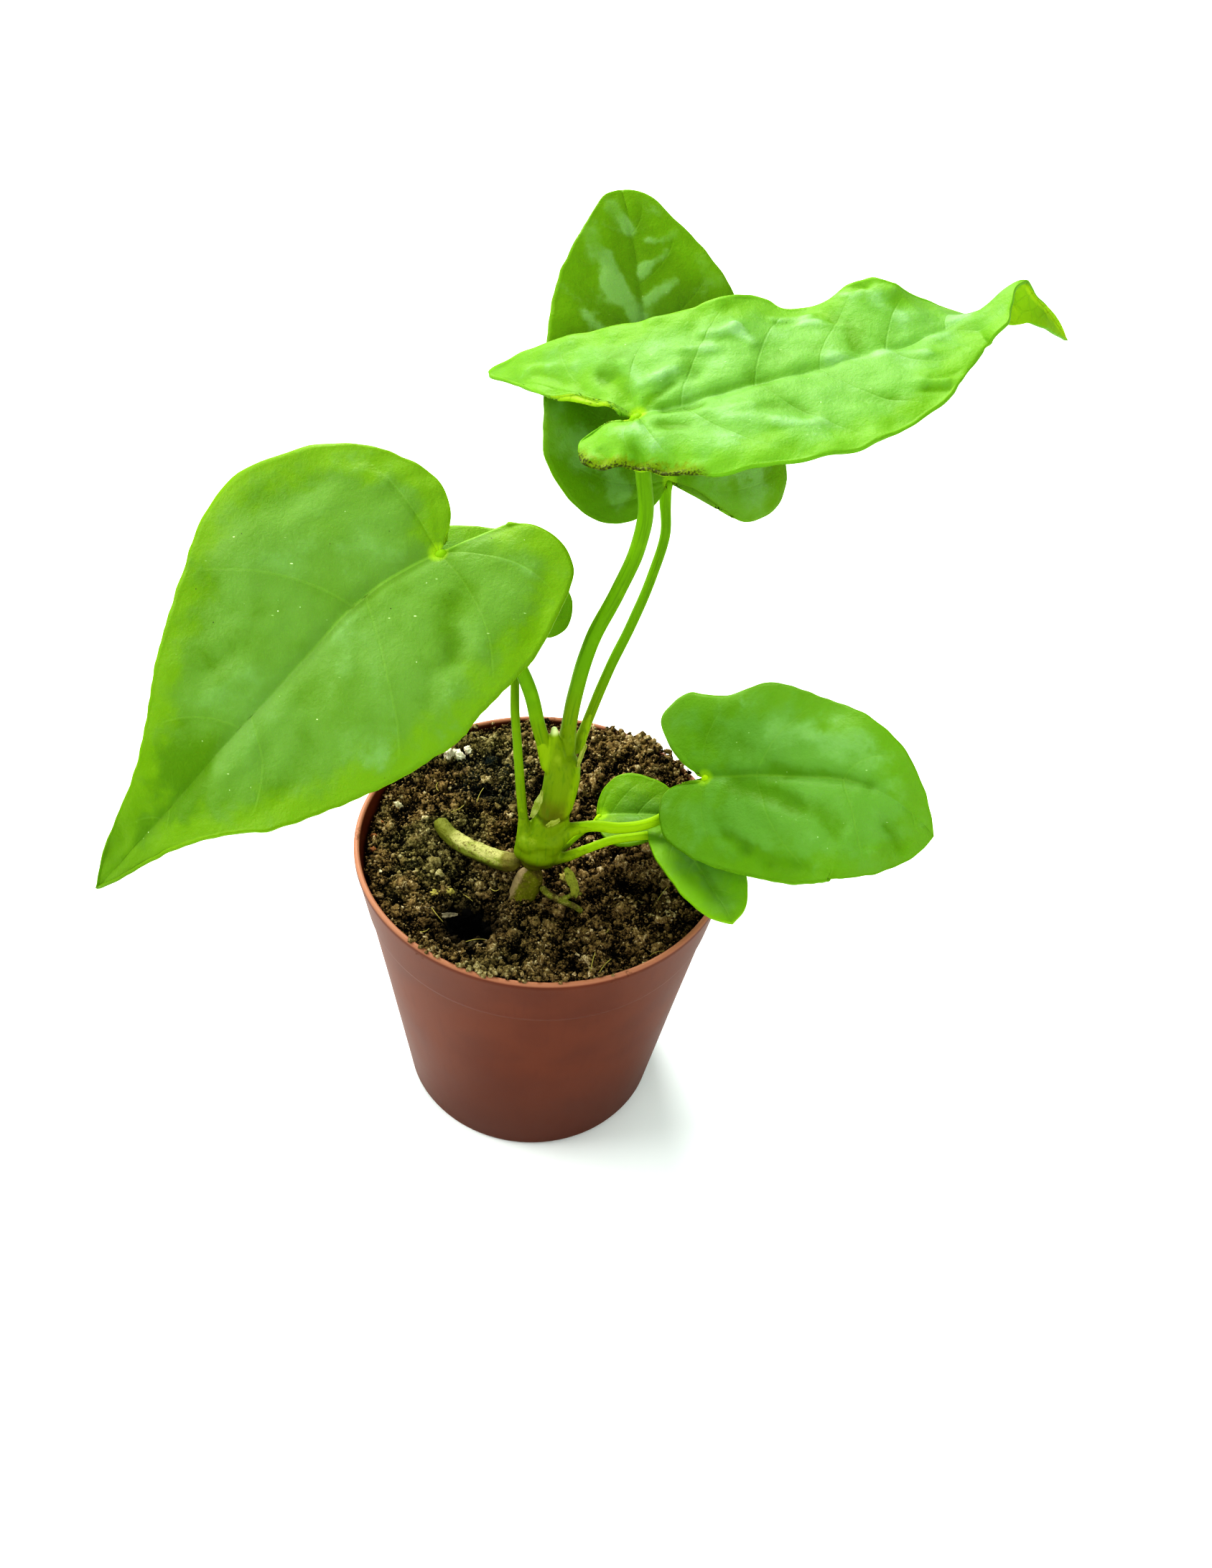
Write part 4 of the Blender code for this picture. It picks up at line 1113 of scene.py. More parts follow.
CREASE_DEPTH = 0.25
CREASE_WIDTH = 0.4
for name, (route, low, high) in PETIOLES.items():
    path = curve_slopes(route)
    reach = min(FOOT_REACH, 0.4 * path[1][-1])
    foot_route = [curve_point(path, d)[0] for d in np.linspace(0, reach, 6)]
    radii = [low * flare for flare in FOOT_FLARE]
    crown_shapes.append(stalk_shape(foot_route, even(radii), 0.3, 20)[:2])
crown = melted("crown_skin", crown_shapes, 0.2, 8, crown_green)
for vertex in crown.data.vertices:
    place = vertex.co / MM
    crease = CREASE_DEPTH * float(bell((place.z - SHEATH_FOOT) / CREASE_WIDTH))
    vertex.co += vertex.normal * ((0.05 * lumps(place, 0.9, 8) - crease) * MM)
dress(crown, "sheath_green", "crown_sheath")

# %% [markdown]
# Dry remains cling to the plant: a papery bract in the fork by the back left petiole, a torn
# scrap on the crown, the sheath's own torn edge, a scrap beside the aerial root, and a grey
# splinter on the soil. Each is a thin strip along a short spine, cupped across and ragged at its
# edges, and a Solidify modifier gives it its thickness.

# %% Dry scraps
SCRAP_ROWS = 30
SCRAP_COLUMNS = 7
SCRAP_THICKNESS = 0.14


def scrap(name, spine, widths, facing, finish, slot_name, seed):
    """A thin dry strip: half its width is given at even steps along its spine."""
    path = curve_slopes(spine)
    points = []
    for share in np.linspace(0, 1, SCRAP_ROWS).tolist():
        place, along = curve_point(path, path[1][-1] * share)
        across = along.cross(Vector(facing)).normalized()
        normal = across.cross(along)
        half = at_share(evenly(widths), share)
        for side in np.linspace(-1, 1, SCRAP_COLUMNS).tolist():
            torn = 1 + 0.35 * lumps((share * 7, side, seed), 1, 3)
            cup = 0.5 * half * side * side + 0.12 * lumps((share * 5, side * 2, seed), 1, 5)
            points.append(place + across * (side * half * torn) + normal * cup)
    made = piece(name, points, sheet_faces(SCRAP_ROWS, SCRAP_COLUMNS), finish)
    made.modifiers.new("thickness", "SOLIDIFY").thickness = SCRAP_THICKNESS * MM
    dress(plain_mesh(made), slot_name)


papery = stone_finish("papery_scrap", (0.42, 0.46, 0.14), (0.28, 0.34, 0.04))
yellow = stone_finish("yellow_scrap", (0.4, 0.44, 0.1), (0.26, 0.32, 0.01))
olive = stone_finish("olive_scrap", (0.34, 0.36, 0.06), (0.14, 0.15, 0.02))
grey = stone_finish("grey_splinter", (0.3, 0.26, 0.18), (0.14, 0.12, 0.08))
scrap("bract", [(-1.3, -8.5, 62.4), (-0.9, -8.3, 63.7), (-0.5, -7.9, 65), (-0.2, -7.3, 66.6)],
      [0.15, 0.4, 0.4, 0.1], (0, -1, 0.4), papery, "sheath_green", 1)
scrap("crown_scrap", [(0.9, -9.1, 61.6), (1.7, -9.2, 62.5), (2.6, -9, 63.1)],
      [0.15, 0.32, 0.15], (0, -1, 0.5), yellow, "sheath_green", 2)
scrap("sheath_edge", [(5.1, -3.1, 71.9), (4.8, -3.7, 71.1), (4.5, -4.3, 70.2), (4.3, -4.8, 69.2)],
      [0.12, 0.26, 0.24, 0.1], (0, -1, 0.4), yellow, "sheath_green", 3)
scrap("root_scrap", [(5.4, -10.8, 49.8), (5.5, -10.6, 51.1), (5, -10, 52.3), (3.9, -9.2, 53.9)],
      [0.35, 0.6, 0.65, 0.3], (0, -1, 0.5), olive, "root_skin", 4)
scrap("grey_splinter", [(-12.6, -15.2, 48), (-11.6, -15.2, 48.3), (-10.4, -15, 48.4)],
      [0.3, 0.25, 0.06], (0, -1, 1), grey, "soil_mix", 5)

# %% [markdown]
# ## Blades
#
# A blade is drawn flat first: p runs along the midrib, q away from it, and rays run from the
# midrib to the margin as side veins do. Then each flat place is bent into space by the midrib's
# curve, a roll, a fold and a curl. The plain solid is made the same way with wide steps. Here the
# steps are small enough for the midrib's crease, the hollow along each side vein and the swelling
# between veins to be real relief, which light from behind shows up at once.

# %% Measured blades
FAN_SHARE = 0.38    # the share of rays that fan out round the lobe
FAN_END = 3.0       # how far past the hub the fan reaches, along the midrib
# each blade: its midrib in space, both margins drawn flat as (p, q), the turns in degrees with the
# left half's first, and the grid of the plain solid
BLADES = {
    "blade_left": {
        "midrib": [(-14, -8, 104), (-20, -11, 101), (-30.5, -18, 91), (-39, -24, 82), (-54, -30, 63.5)],
        "left": [(-9, 0), (-13.4, 4.9), (-13.7, 8.3), (-9.4, 13.3), (-4.2, 17.2), (5, 19.8),
                 (11.6, 20.6), (18, 19.6), (24.2, 17.6), (33, 13.9), (37, 11.7), (41, 8.5), (46, 5.4),
                 (52.6, 3), (58.5, 1.3)],
        "right": [(-1.5, 1), (-3.9, 6.7), (-3.1, 9.9), (-1, 12.6), (3.2, 17.2), (8.5, 20.4), (12, 21.7),
                  (15.2, 21.2), (21.3, 19.1), (29.9, 14.6), (38.4, 10.2), (45, 6.5), (53, 4), (58, 2.4)],
        "roll": -30, "fold": (8, 8), "curl": (-12, -12), "lobe": (10, 100),
        "bumps": [("left", 14, 12, 0.8, 6), ("left", 30, 9, -0.6, 6), ("right", 16, 12, 0.7, 7)],
        "rays": 30, "steps": 5,
    },
    "blade_back_left": {
        "midrib": [(-5, 4, 86), (-13, 8, 89.5), (-22, 12, 90)],
        "left": [(-1, 0.5), (-4, 1.5), (-5, 4.1), (-4.4, 7), (0.8, 8.9), (8.2, 9), (14.5, 6.2),
                 (18.4, 2.6)],
        "right": [(-1, 0.5), (-4, 1.4), (-4.7, 4), (-3.4, 6.6), (0.9, 8.7), (8, 9.2), (12.5, 7.2),
                  (18.4, 2.5)],
        "roll": -15, "fold": (10, 10), "curl": (-15, -15), "lobe": (20, 20),
        "bumps": [], "rays": 18, "steps": 4,
    },
    "blade_top": {
        "midrib": [(7.5, 2, 119), (17.5, 4, 122), (28, 7.5, 124), (39, 11, 127), (44.5, 14, 128.8),
                   (46.5, 14.6, 130.3), (48.7, 16, 132), (50.3, 17.2, 132.5), (52.9, 19, 130.1),
                   (59.1, 22, 123.8)],
        "left": [(-2, 1), (-6.2, 5.9), (-10.7, 8.4), (-14, 13), (-18, 18.4), (-10.2, 17.6), (0.8, 15.4),
                 (9.6, 14.5), (15, 14.3), (19.1, 14.9), (20.6, 14.2), (21.7, 12.8), (23.6, 12.3),
                 (26.6, 11.8), (28.2, 12), (29.7, 12.2), (32, 11.1), (34.4, 9.4), (35.9, 8.1),
                 (38.6, 7.2), (40.6, 7), (42.8, 6.8), (45.5, 6.6), (48.5, 5.8), (51, 4.5), (52.5, 3.1),
                 (55.2, 2.4)],
        "right": [(-2, 0.4), (-5.1, 0.2), (-6.8, 1.2), (-7.5, 3.2), (-7, 5.4), (-5.1, 7), (-2.4, 7.6),
                  (-0.1, 8.6), (2.3, 10.3), (4.3, 11.5), (12.2, 13.5), (19.5, 14.6), (25.2, 14.1),
                  (30, 12.2), (32.4, 10.8), (34.8, 8.3), (37.9, 6.4), (39.6, 5.9), (41.2, 6.2), (42.7, 5.4),
                  (44.3, 3.1), (47.3, 0.8), (51.3, 0.3), (55.5, 0.5), (58.6, 0.5)],
        "roll": [(0, 8), (0.66, 4), (0.8, -25), (0.9, -80)],
        "fold": ([(0, 8), (0.585, 8), (0.64, -10), (0.69, -50), (0.85, -60)], 5),
        "curl": (-8, [(-0.1, -60), (0.05, -40), (0.2, -15)]), "lobe": (20, 20),
        "bumps": [("left", 15, 14, 1.0, 5), ("left", 24, 14, -1.5, 4.5), ("left", 35.5, 11.5, 2.0, 5.5)],
        "rays": 34, "steps": 5,
    },
    "blade_top_back": {
        "midrib": [(12.5, 17, 101.5), (7, 28, 119), (5, 34, 124.5), (2.5, 40, 129.5)],
        "left": [(-0.5, 0.5), (-3.3, 5), (-3.4, 9.3), (-0.8, 13.7), (5.3, 16.8), (12.1, 15.3),
                 (21.3, 12.6), (29.9, 8.7), (34.5, 5.2), (37.3, 2.6)],
        "right": [(-0.5, 0.5), (-1.7, 3.2), (-4.6, 6.5), (-8.2, 11.3), (-7.2, 17), (-2.7, 18.9),
                  (2, 17.7), (9.3, 16), (21.1, 13), (28, 9.8), (33.3, 6), (37.2, 2.8)],
        "roll": 0, "fold": (6, 6), "curl": (-10, -10), "lobe": (20, 20),
        "bumps": [("left", 12, 10, 0.6, 5), ("right", 14, 10, 0.6, 5)],
        "rays": 26, "steps": 4,
    },
    "blade_right": {
        "midrib": [(21.5, -4, 69), (32.5, -8, 74.5), (42.5, -12, 77.5), (50.5, -16, 74)],
        "left": [(-1, 0.5), (-6, 5.8), (-7.4, 9), (-4.2, 12), (3.6, 11.2), (8, 12.8), (13.5, 11.6),
                 (20.8, 8.8), (27.2, 4.7)],
        "right": [(-1, 0.5), (-6.3, 2), (-6.4, 6.6), (-0.4, 11.5), (6.8, 13.5), (16.5, 14.1), (21.8, 13.3),
                  (27.1, 12.3), (31.8, 9.2), (34.1, 3)],
        "roll": 38, "fold": (6, 6), "curl": (-15, -15), "lobe": (20, 20),
        "bumps": [("right", 12, 7, 0.7, 5)],
        "rays": 26, "steps": 4,
    },
    "blade_low_right": {
        "midrib": [(18, -4, 59), (22.5, -12, 59), (27, -20, 58)],
        "left": [(-0.5, 0.5), (-2.8, 2.2), (-2.4, 4.2), (-0.5, 5.5), (4.3, 6), (9, 5.9), (13.6, 4.7),
                 (17.2, 2.5)],
        "right": [(-0.5, 0.5), (-1.3, 2.4), (1, 4), (4, 4.7), (8, 4.7), (12.8, 4.1), (16.8, 2.2)],
        "roll": 10, "fold": (10, 10), "curl": (-10, -10), "lobe": (20, 20),
        "bumps": [], "rays": 16, "steps": 3,
    },
    "blade_small": {
        "midrib": [(8, 1, 55), (14.5, 1, 56), (22, 1, 56)],
        "left": [(-0.5, 0.3), (0.6, 4.6), (2.8, 6.5), (7.3, 5.9), (11.1, 3.4)],
        "right": [(-0.5, 0.3), (0.7, 4.3), (2.9, 6.2), (7.3, 5.2), (11, 3)],
        "roll": 10, "fold": (10, 10), "curl": (-10, -10), "lobe": (20, 20),
        "bumps": [], "rays": 14, "steps": 3,
    },
}
print("blades:", len(BLADES))

# %% [markdown]
# Each blade also has looks of its own: where its side veins leave the midrib, as shares of the
# way round its half, how far they sweep forward, how deep the crease is, and how strongly the
# flesh is quilted, waved and puckered. The top blade has the finest steps, and its relief calms
# down beyond 46 mm, because its bent tip is the plant's highest spot.

# %% Each blade's looks
YOUNG_LOOK = {
    "veins": ([0.12, 0.28, 0.45, 0.62, 0.8],) * 2,
    "sweep": 0.1, "crease": 0.35, "quilt": 0.08, "wave": 0.1, "pucker": 0.03, "dent": 0.25,
    "depth": 0.5,
}
LOOKS = {
    "blade_left": {
        "veins": ([0.1, 0.27, 0.48, 0.68, 0.84], [0.12, 0.3, 0.5, 0.7, 0.86]),
        "sweep": 0.09, "crease": 0.45, "quilt": 0.12, "wave": 0.5, "pucker": 0.08, "dent": 0.6,
        "depth": 0.7, "soft": 1.2,
    },
    "blade_back_left": {
        "veins": ([0.1, 0.25, 0.4, 0.58, 0.75, 0.9],) * 2,
        "sweep": 0.1, "crease": 0.3, "quilt": 0.1, "wave": 0.15, "pucker": 0.0, "dent": 0.12,
        "depth": 0.6,
    },
    "blade_top": {
        "veins": ([0.1, 0.22, 0.34, 0.43, 0.52, 0.6, 0.68, 0.76, 0.85, 0.93],) * 2,
        "sweep": 0.07, "crease": 0.5, "quilt": 0.18, "wave": 0.45, "pucker": 0.6, "dent": 0.5,
        "depth": 0.8, "finer": (7, 10), "calm": 46,
    },
    "blade_top_back": {
        "veins": ([0.1, 0.22, 0.34, 0.46, 0.57, 0.68, 0.79, 0.9],) * 2,
        "sweep": 0.09, "crease": 0.4, "quilt": 0.14, "wave": 0.2, "pucker": 0.03, "dent": 0.15,
        "depth": 1.0,
    },
    "blade_right": {
        "veins": ([0.12, 0.3, 0.52, 0.74, 0.93],) * 2,
        "sweep": 0.1, "crease": 0.45, "quilt": 0.15, "wave": 0.4, "pucker": 0.03, "dent": 0.7,
        "depth": 0.85, "soft": 1.6,
    },
    "blade_low_right": YOUNG_LOOK, "blade_small": YOUNG_LOOK,
}

# %% [markdown]
# Where the real blade catches light or dips, a few soft strokes make it lighter or darker, and
# lift or sink it a little as well. Each stroke runs from one flat place to another, (p, q) to
# (p, q) with q below zero on the right half, and ends in its width and its strength.

# %% Strokes of light and shade
STROKES = {
    "blade_left": [
        (19.2, -17.6, 24.7, -12.7, 2.1, -0.45), (29, -12.2, 30.1, -8.6, 1.5, -0.4),
        (8.8, -17.4, 7.5, -14.5, 1.1, -0.55), (11.5, -17.3, 10.6, -14.3, 0.9, -0.55),
        (0, -5.1, -0.2, -2.2, 1.1, -0.4), (1.3, 7.5, 4.1, 12.5, 1.3, -0.7),
        (4.1, 12.5, 12, 14.6, 1.3, -0.6), (32.8, 9.1, 27.5, 8.4, 1.4, -0.45),
        (32.8, 4.5, 31.6, 4.9, 1.3, -0.4), (-5.6, 14.4, -8.5, 11.1, 0.9, -0.5),
        (42.1, -4.5, 38.5, -1, 1.5, -0.5), (56.9, -1.7, 53.9, -2.2, 0.8, -0.6),
        (28.2, -7.3, 25.9, -6, 0.8, -0.4), (14.6, 1, 21.1, 7.3, 1.4, 0.45),
        (21.1, 10.5, 23.4, 13.9, 1.4, 0.3), (1.3, 12.9, 9.8, 16.1, 1.3, 0.4),
        (-6.9, 3.8, -9, 7.2, 0.9, 0.55), (29.8, -4.4, 26.2, -3.7, 1.4, 0.45),
        (34.4, -6.2, 31.3, -5.6, 1.2, 0.3), (37.2, 3.1, 21.6, 2.2, 0.9, 0.3),
        (45.7, 1.4, 39.3, 2.8, 0.9, 0.3), (5.2, -15.5, 2, -10.4, 0.6, 0.5),
        (11, -9.1, 5.2, -3.1, 1.9, 0.25), (4.9, 0.4, 11.6, 0.8, 1.7, 0.2),
        (16.7, 17.4, 9.8, 18.7, 1.1, 0.25), (51.8, 1.7, 45.5, 2.9, 0.8, 0.25), (48, 0, 60, 0, 7, -0.8),
        (32, 0, 44, 0, 9, -0.2)],
    "blade_back_left": [
        (14.2, -6, 12.3, -6.4, 0.8, 0.4)],
    "blade_top": [
        (20.4, 9, 22, 9.2, 0.5, -0.7), (15, 11.8, 16.6, 13.5, 1.2, -0.5), (17.5, 3.2, 18.6, 4, 1.4, -0.6),
        (7.8, 3.5, 8.3, 4, 0.7, -0.7), (1.7, 1.1, 4.7, 3.1, 0.6, -0.8), (-2.8, 7.6, -0.8, 2.6, 0.8, -0.8),
        (-3.2, 7.2, -2.9, 6.4, 0.7, -0.5), (-11.4, 12.7, -5.5, 6.6, 0.6, -0.5),
        (14.3, 1.4, 15.1, 0.5, 0.9, -0.4), (26.6, 5.7, 26.5, 1.3, 0.9, -0.7),
        (30.4, 11.4, 31.6, 9.6, 0.8, -0.9), (25.8, 9.2, 26, 7.3, 0.6, -0.5),
        (-12.3, 14.3, -6.6, 11.5, 0.6, 0.5), (-0.2, 7.8, 1.1, 4, 0.6, 0.5), (2.7, 4.2, 6, 5.1, 0.6, 0.7),
        (7.1, 7.4, 11.1, 7, 0.6, 0.6), (10.3, 9.6, 14.8, 8.7, 0.6, 0.8), (14.8, 8.7, 15.9, 6.3, 0.6, 0.7),
        (20.1, 9.7, 23.9, 9.4, 0.5, 0.7), (22.8, 8.2, 26.3, 5.8, 0.5, 0.6), (28.1, 11.1, 30.9, 9, 0.6, 0.7),
        (30.9, 8.8, 34.6, 7.5, 0.6, 0.6), (31.7, 7.3, 34.1, 4, 0.7, 0.4), (38.7, 3.5, 40.3, 0.1, 0.7, 0.5),
        (23.1, 3.9, 23.7, 1, 1.5, 0.3), (-9.6, 16.1, 3.6, 14.6, 1.1, 0.35), (3, -0.5, 7.5, -1.3, 0.5, -0.9),
        (2.3, -3.4, 5.2, -4.4, 0.7, -0.7), (14.2, -4.3, 17.5, -6.8, 0.9, -0.6),
        (23.4, -6.9, 26.8, -9, 1.4, -0.6), (28.1, -11, 30.9, -10.9, 1.5, -0.5),
        (31.1, -8.4, 33, -9.6, 0.4, -0.7), (31.9, -7.3, 34, -8.1, 0.4, -0.6),
        (13.8, -11.5, 14.6, -12, 0.7, -0.4), (25.2, -12.9, 27.1, -12.6, 1.1, -0.4),
        (-1.5, -2.9, 1.4, -5.4, 1.3, 0.8), (7.5, -3.1, 12.4, -3.9, 0.7, 0.5),
        (9.7, -5, 13.8, -7.4, 0.7, 0.5), (13.7, -7.5, 18.6, -9.1, 0.6, 0.5), (7.8, -7.6, 8.4, -8, 0.8, 0.3),
        (23.3, 0.7, 29.3, -0.5, 0.7, 0.6), (29.3, -0.5, 33.5, -2.9, 0.7, 0.5),
        (33.6, -2.6, 37.3, -5.4, 0.6, 0.4), (35.4, -0.7, 48.2, 2.6, 0.9, 0.4),
        (31.1, -7.4, 33.2, -8.8, 0.3, 0.5), (-5.8, -6.2, -2.8, -8, 0.6, -1),
        (-1, -6, -0.4, -7.4, 0.5, -0.8), (2, -9.3, 4.1, -11.2, 0.5, -0.8), (-4.7, -4.6, -4, -6, 0.5, -0.6),
        (-3.6, 0.1, -2.8, -0.1, 0.3, -0.5)],
    "blade_top_back": [
        (31.8, 5.7, 25.4, 3.7, 1.2, 0.9), (25.4, 3.7, 21, 0.9, 1.2, 0.9), (35.5, 2, 32.7, 0.4, 0.9, 0.9),
        (26.2, -0.2, 29, -4, 0.6, 0.9), (23, -0.8, 25.2, -4.4, 0.6, 0.8), (30, -6.1, 25, -10.5, 0.8, 0.45),
        (30.5, -1.7, 31, -5.6, 0.4, 0.7), (21.6, 8.2, 19.6, 6.4, 0.6, 0.5), (9, 13.5, 1.5, 9, 2.7, 0.6),
        (-1.5, -6.5, -5, -12, 3.6, 0.9), (1.6, 3.4, -0.8, -0.8, 1.1, 0.4),
        (0.1, -12.3, -2.1, -13.3, 0.6, 0.5)],
    "blade_right": [
        (10.6, 0.8, 23.5, 0.2, 0.6, -0.8), (4.8, -1.4, 14.1, -3.4, 0.7, -0.8),
        (14.2, -3.9, 21.2, -6.2, 0.9, -0.6), (9.2, -4.8, 17.1, -7.6, 0.7, 0.5),
        (0.5, 5.2, 3.7, 3.4, 1.5, -0.6), (5.1, 4.9, 6.7, 3.8, 0.8, -0.4), (10.9, 5.5, 20.4, 6.4, 0.9, 0.6),
        (18.1, 5.6, 19.3, 5.7, 0.9, 0.5), (-3, 10.4, -2.1, 10.3, 1.5, 0.3), (3, 10.2, 4.2, 10.2, 0.6, 0.6),
        (4.1, -11.8, 14.2, -13.5, 0.9, -0.5), (14.2, -13.5, 24.5, -12.7, 0.9, -0.5),
        (3.8, -8, 7.7, -10.2, 0.4, -0.6), (7.7, -10.2, 11.6, -11.7, 0.4, -0.6),
        (11.6, -11.7, 16.5, -12.2, 0.4, -0.5), (29.1, -7.3, 29.4, -7, 0.5, 0.6),
        (32, -3.8, 28.2, -3.2, 0.4, -0.6), (31.3, -0.5, 27.2, 0.1, 0.8, 0.5),
        (14.1, -1.9, 22.2, -2.5, 1.1, 0.35), (-5.7, -2.2, -1.7, -6.7, 1.5, 0.3),
        (22.5, -5.8, 28.7, -4.3, 1.3, 0.2), (19.8, 2.5, 24.9, 2.8, 1.3, 0.25)],
    "blade_low_right": [
        (9.2, -0.2, 12.6, 0.3, 0.6, -0.7), (4.7, -2.3, 8.3, 0.3, 1.1, 0.4), (13.6, 4, 14.1, 4, 0.3, 0.9),
        (15.3, -0.5, 16.1, 1.1, 0.8, 0.3)],
    "blade_small": [
        (3.6, 4.2, 4.9, 3.7, 0.7, 0.6), (1.1, -0.5, 7.8, -1.1, 0.6, 0.9), (2.3, 6.4, 6.4, 5.8, 0.8, -0.3),
        (1, 3.5, 10, 3.5, 3, -0.5)],
}

# %% [markdown]
# ## Leaf green
#
# The upper face is satin, and its colour comes from several things at once: soft clouds of
# lighter and darker green, the strokes above, a broad lime rim and a thin lime edge, partly the
# margin's own yellower green and partly a painted glow of light through the thin margin, a paler
# thread on each vein with painted shade in the hollow beside it, a painted shadow beside the
# midrib, a painted sheen of reflected light over the middle, painted shade on a drooping tip, and
# a few specks of dust and scratches. The finish knows how far each spot is from a vein, because
# the mesh carries a vein number that grows evenly across the blade: its distance from a whole
# number, times the veins' spacing, is a length.

# %% The upper face
BROWN_SPOT = (-3.0, 0.7)        # a small dead spot on the top blade
JUICY = {"Subsurface_Weight": 0.15, "Subsurface_Radius": (0.0007, 0.0014, 0.0001), "Subsurface_Scale": 1}


def dry_lobe(along, across, gap, grain, cells):
    """Layers for a lobe that dries from its margin, and for the dead spot."""
    lobe = along.fade(6.5, 4) * across.fade(-2.5, -4.5)
    spot = (along - BROWN_SPOT[0]).squared() + (across - BROWN_SPOT[1]).squared()
    return [((0.17, 0.25, 0.002), lobe * (gap + grain * 3).fade(3.2, 2.0)),
            ((0.05, 0.06, 0.004), lobe * (gap + cells * 4).fade(2.6, 1.7)),
            ((0.1, 0.06, 0.01), spot.fade(0.2, 0.06))]


def vein_distance(leaf):
    """How far a spot is from the nearest side vein, and its tilt between two of them."""
    number, spacing = leaf.uv("veins")
    return abs((number + 0.5).fract() - 0.5) * spacing, number.fract() - 0.5


def leaf_finish(name, colours, roughness, slant=0.0, sharp=0.0, rib=0.4, dry=False, dust=0.4, thread=0.1):
    """Satin green. Slant paints light and shade on the flesh between veins, sharp hardens its clouds,
    dust sets the dust specks and scratches and also a painted sheen over the middle, and rib and
    thread are the strengths of the lines on midrib and side veins."""
    body, deep, pale, rim, vein = colours
    leaf = Finish(name)
    from_vein, tilt = vein_distance(leaf)
    along, across = leaf.uv("flat")
    gap, tone = leaf.uv("rim")
    inside = gap.fade(0.8, 3.5)
    side_vein = from_vein.fade(0.2, 0.04) * inside
    clouds = leaf.noise(0.085, 3)
    patches = leaf.noise(0.3, 2)
    grain = leaf.noise(1.5, 3, rough=0.65)
    cells = leaf.noise(3.4, 3, rough=0.6)
    light = (clouds - 0.5) * 1.6 + (patches - 0.5) * (1.0 + sharp * 1.7) + (grain - 0.5) * 0.5
    light = light + tilt * (across.fade(0.5, -0.5) * 2 - 1) * slant * inside
    light = light + tone * (0.65 + patches * 0.7)
    layers = [(deep, light.fade(-0.05, -0.75)),
              (pale, light.fade(0.05 + sharp * 0.25, 0.85 - sharp * 0.25)),
              # Painted sheen: a paler mint over the middle, for light reflected off the satin face; dust
              # sets it as well as the specks.
              (pale, gap.fade(3, 8) * clouds.fade(0.35, 0.6) * dust * 0.3),
              # A lime band along the margin: partly the margin's own yellower green, partly a painted glow
              # of light through the thin blade.
              (rim, (gap + patches * 9 + grain * 2).fade(10.5, 6.5) * 0.7),
              # Painted shade in the hollow beside each side vein.
              (deep, from_vein.fade(1.6, 0.2) * inside * 0.14),
              # A painted shadow in a thin line beside the midrib, towards the hub.
              (deep, abs(across - 0.5).fade(0.7, 0.1) * along.fade(30, 5) * 0.5),
              (vein, side_vein * thread),
              (vein, abs(across).fade(0.34, 0.08) * along.fade(32, 3) * rib),
              # The thin lime edge of the margin: partly its own colour, partly a painted glow and
              # highlight.
              (rim, gap.fade(0.42, 0.12) * 0.7),
              ((0.33, 0.52, 0.01), (along.squared() + across.squared()).fade(2.2, 0.2) * 0.75)]
    # Blades that do not dry at the lobe get painted shade on the drooping tip, from 44 mm on.
    layers += (dry_lobe(along, across, gap, grain, cells) if dry
               else [(deep, along.fade(44, 60) * 0.6)])
    speck_kind = leaf.split(leaf.cells(0.75, output="Color"))[0]
    speck = leaf.cells(0.75).fade(0.09, 0.04) * dust
    slim = leaf.vector("MULTIPLY", leaf.place, (0.55, 1.7, 1.5))
    scratch = leaf.cells(0.5, where=slim).fade(0.07, 0.03) * gap.fade(1.5, 5)
    layers += [((0.7, 0.82, 0.55), speck * speck_kind.fade(0.86, 1.02) * gap.fade(1, 4)),
               ((0.05, 0.06, 0.02), speck * speck_kind.fade(0.12, 0.06) * 0.8),
               ((0.6, 0.72, 0.42), scratch * patches.fade(0.45, 0.6) * dust * 0.9)]
    relief = cells * 0.4 + grain * 1.2 + patches * 1.6 - side_vein * 0.3
    return leaf.paint(Base_Color=leaf.over(body, *layers), Specular_IOR_Level=0.22,
                      Roughness=roughness + cells * 0.12 - patches * 0.06,
                      Normal=leaf.bump(relief, 0.1, 0.8), **JUICY)


# %% [markdown]
# The underside is duller and yellower. The veins stand out there, with a net of the smallest
# ones between them.

# %% The underside
def under_finish(name, body, deep, vein):
    leaf = Finish(name)
    from_vein = vein_distance(leaf)[0]
    gap = leaf.uv("rim")[0]
    side_vein = from_vein.fade(0.35, 0.1) * gap.fade(0.5, 2.5)
    midrib = abs(leaf.uv("flat")[1]).fade(0.7, 0.3)
    net = leaf.cells(0.62, "DISTANCE_TO_EDGE").fade(0.1, 0.02)
    cells = leaf.noise(3.4, 3, rough=0.6)
    colour = leaf.over(deep, (body, leaf.noise(0.15, 3).fade(0.3, 0.65)), (vein, gap.fade(3, 0.2) * 0.3),
                       (vein, side_vein * 0.5), (vein, midrib * 0.7), (deep, net * 0.25))
    return leaf.paint(Base_Color=colour, Roughness=0.5 + cells * 0.15, Specular_IOR_Level=0.3,
                      Normal=leaf.bump(cells * 0.3 + net * 0.4 + side_vein + midrib, 0.1, 0.8), **JUICY)


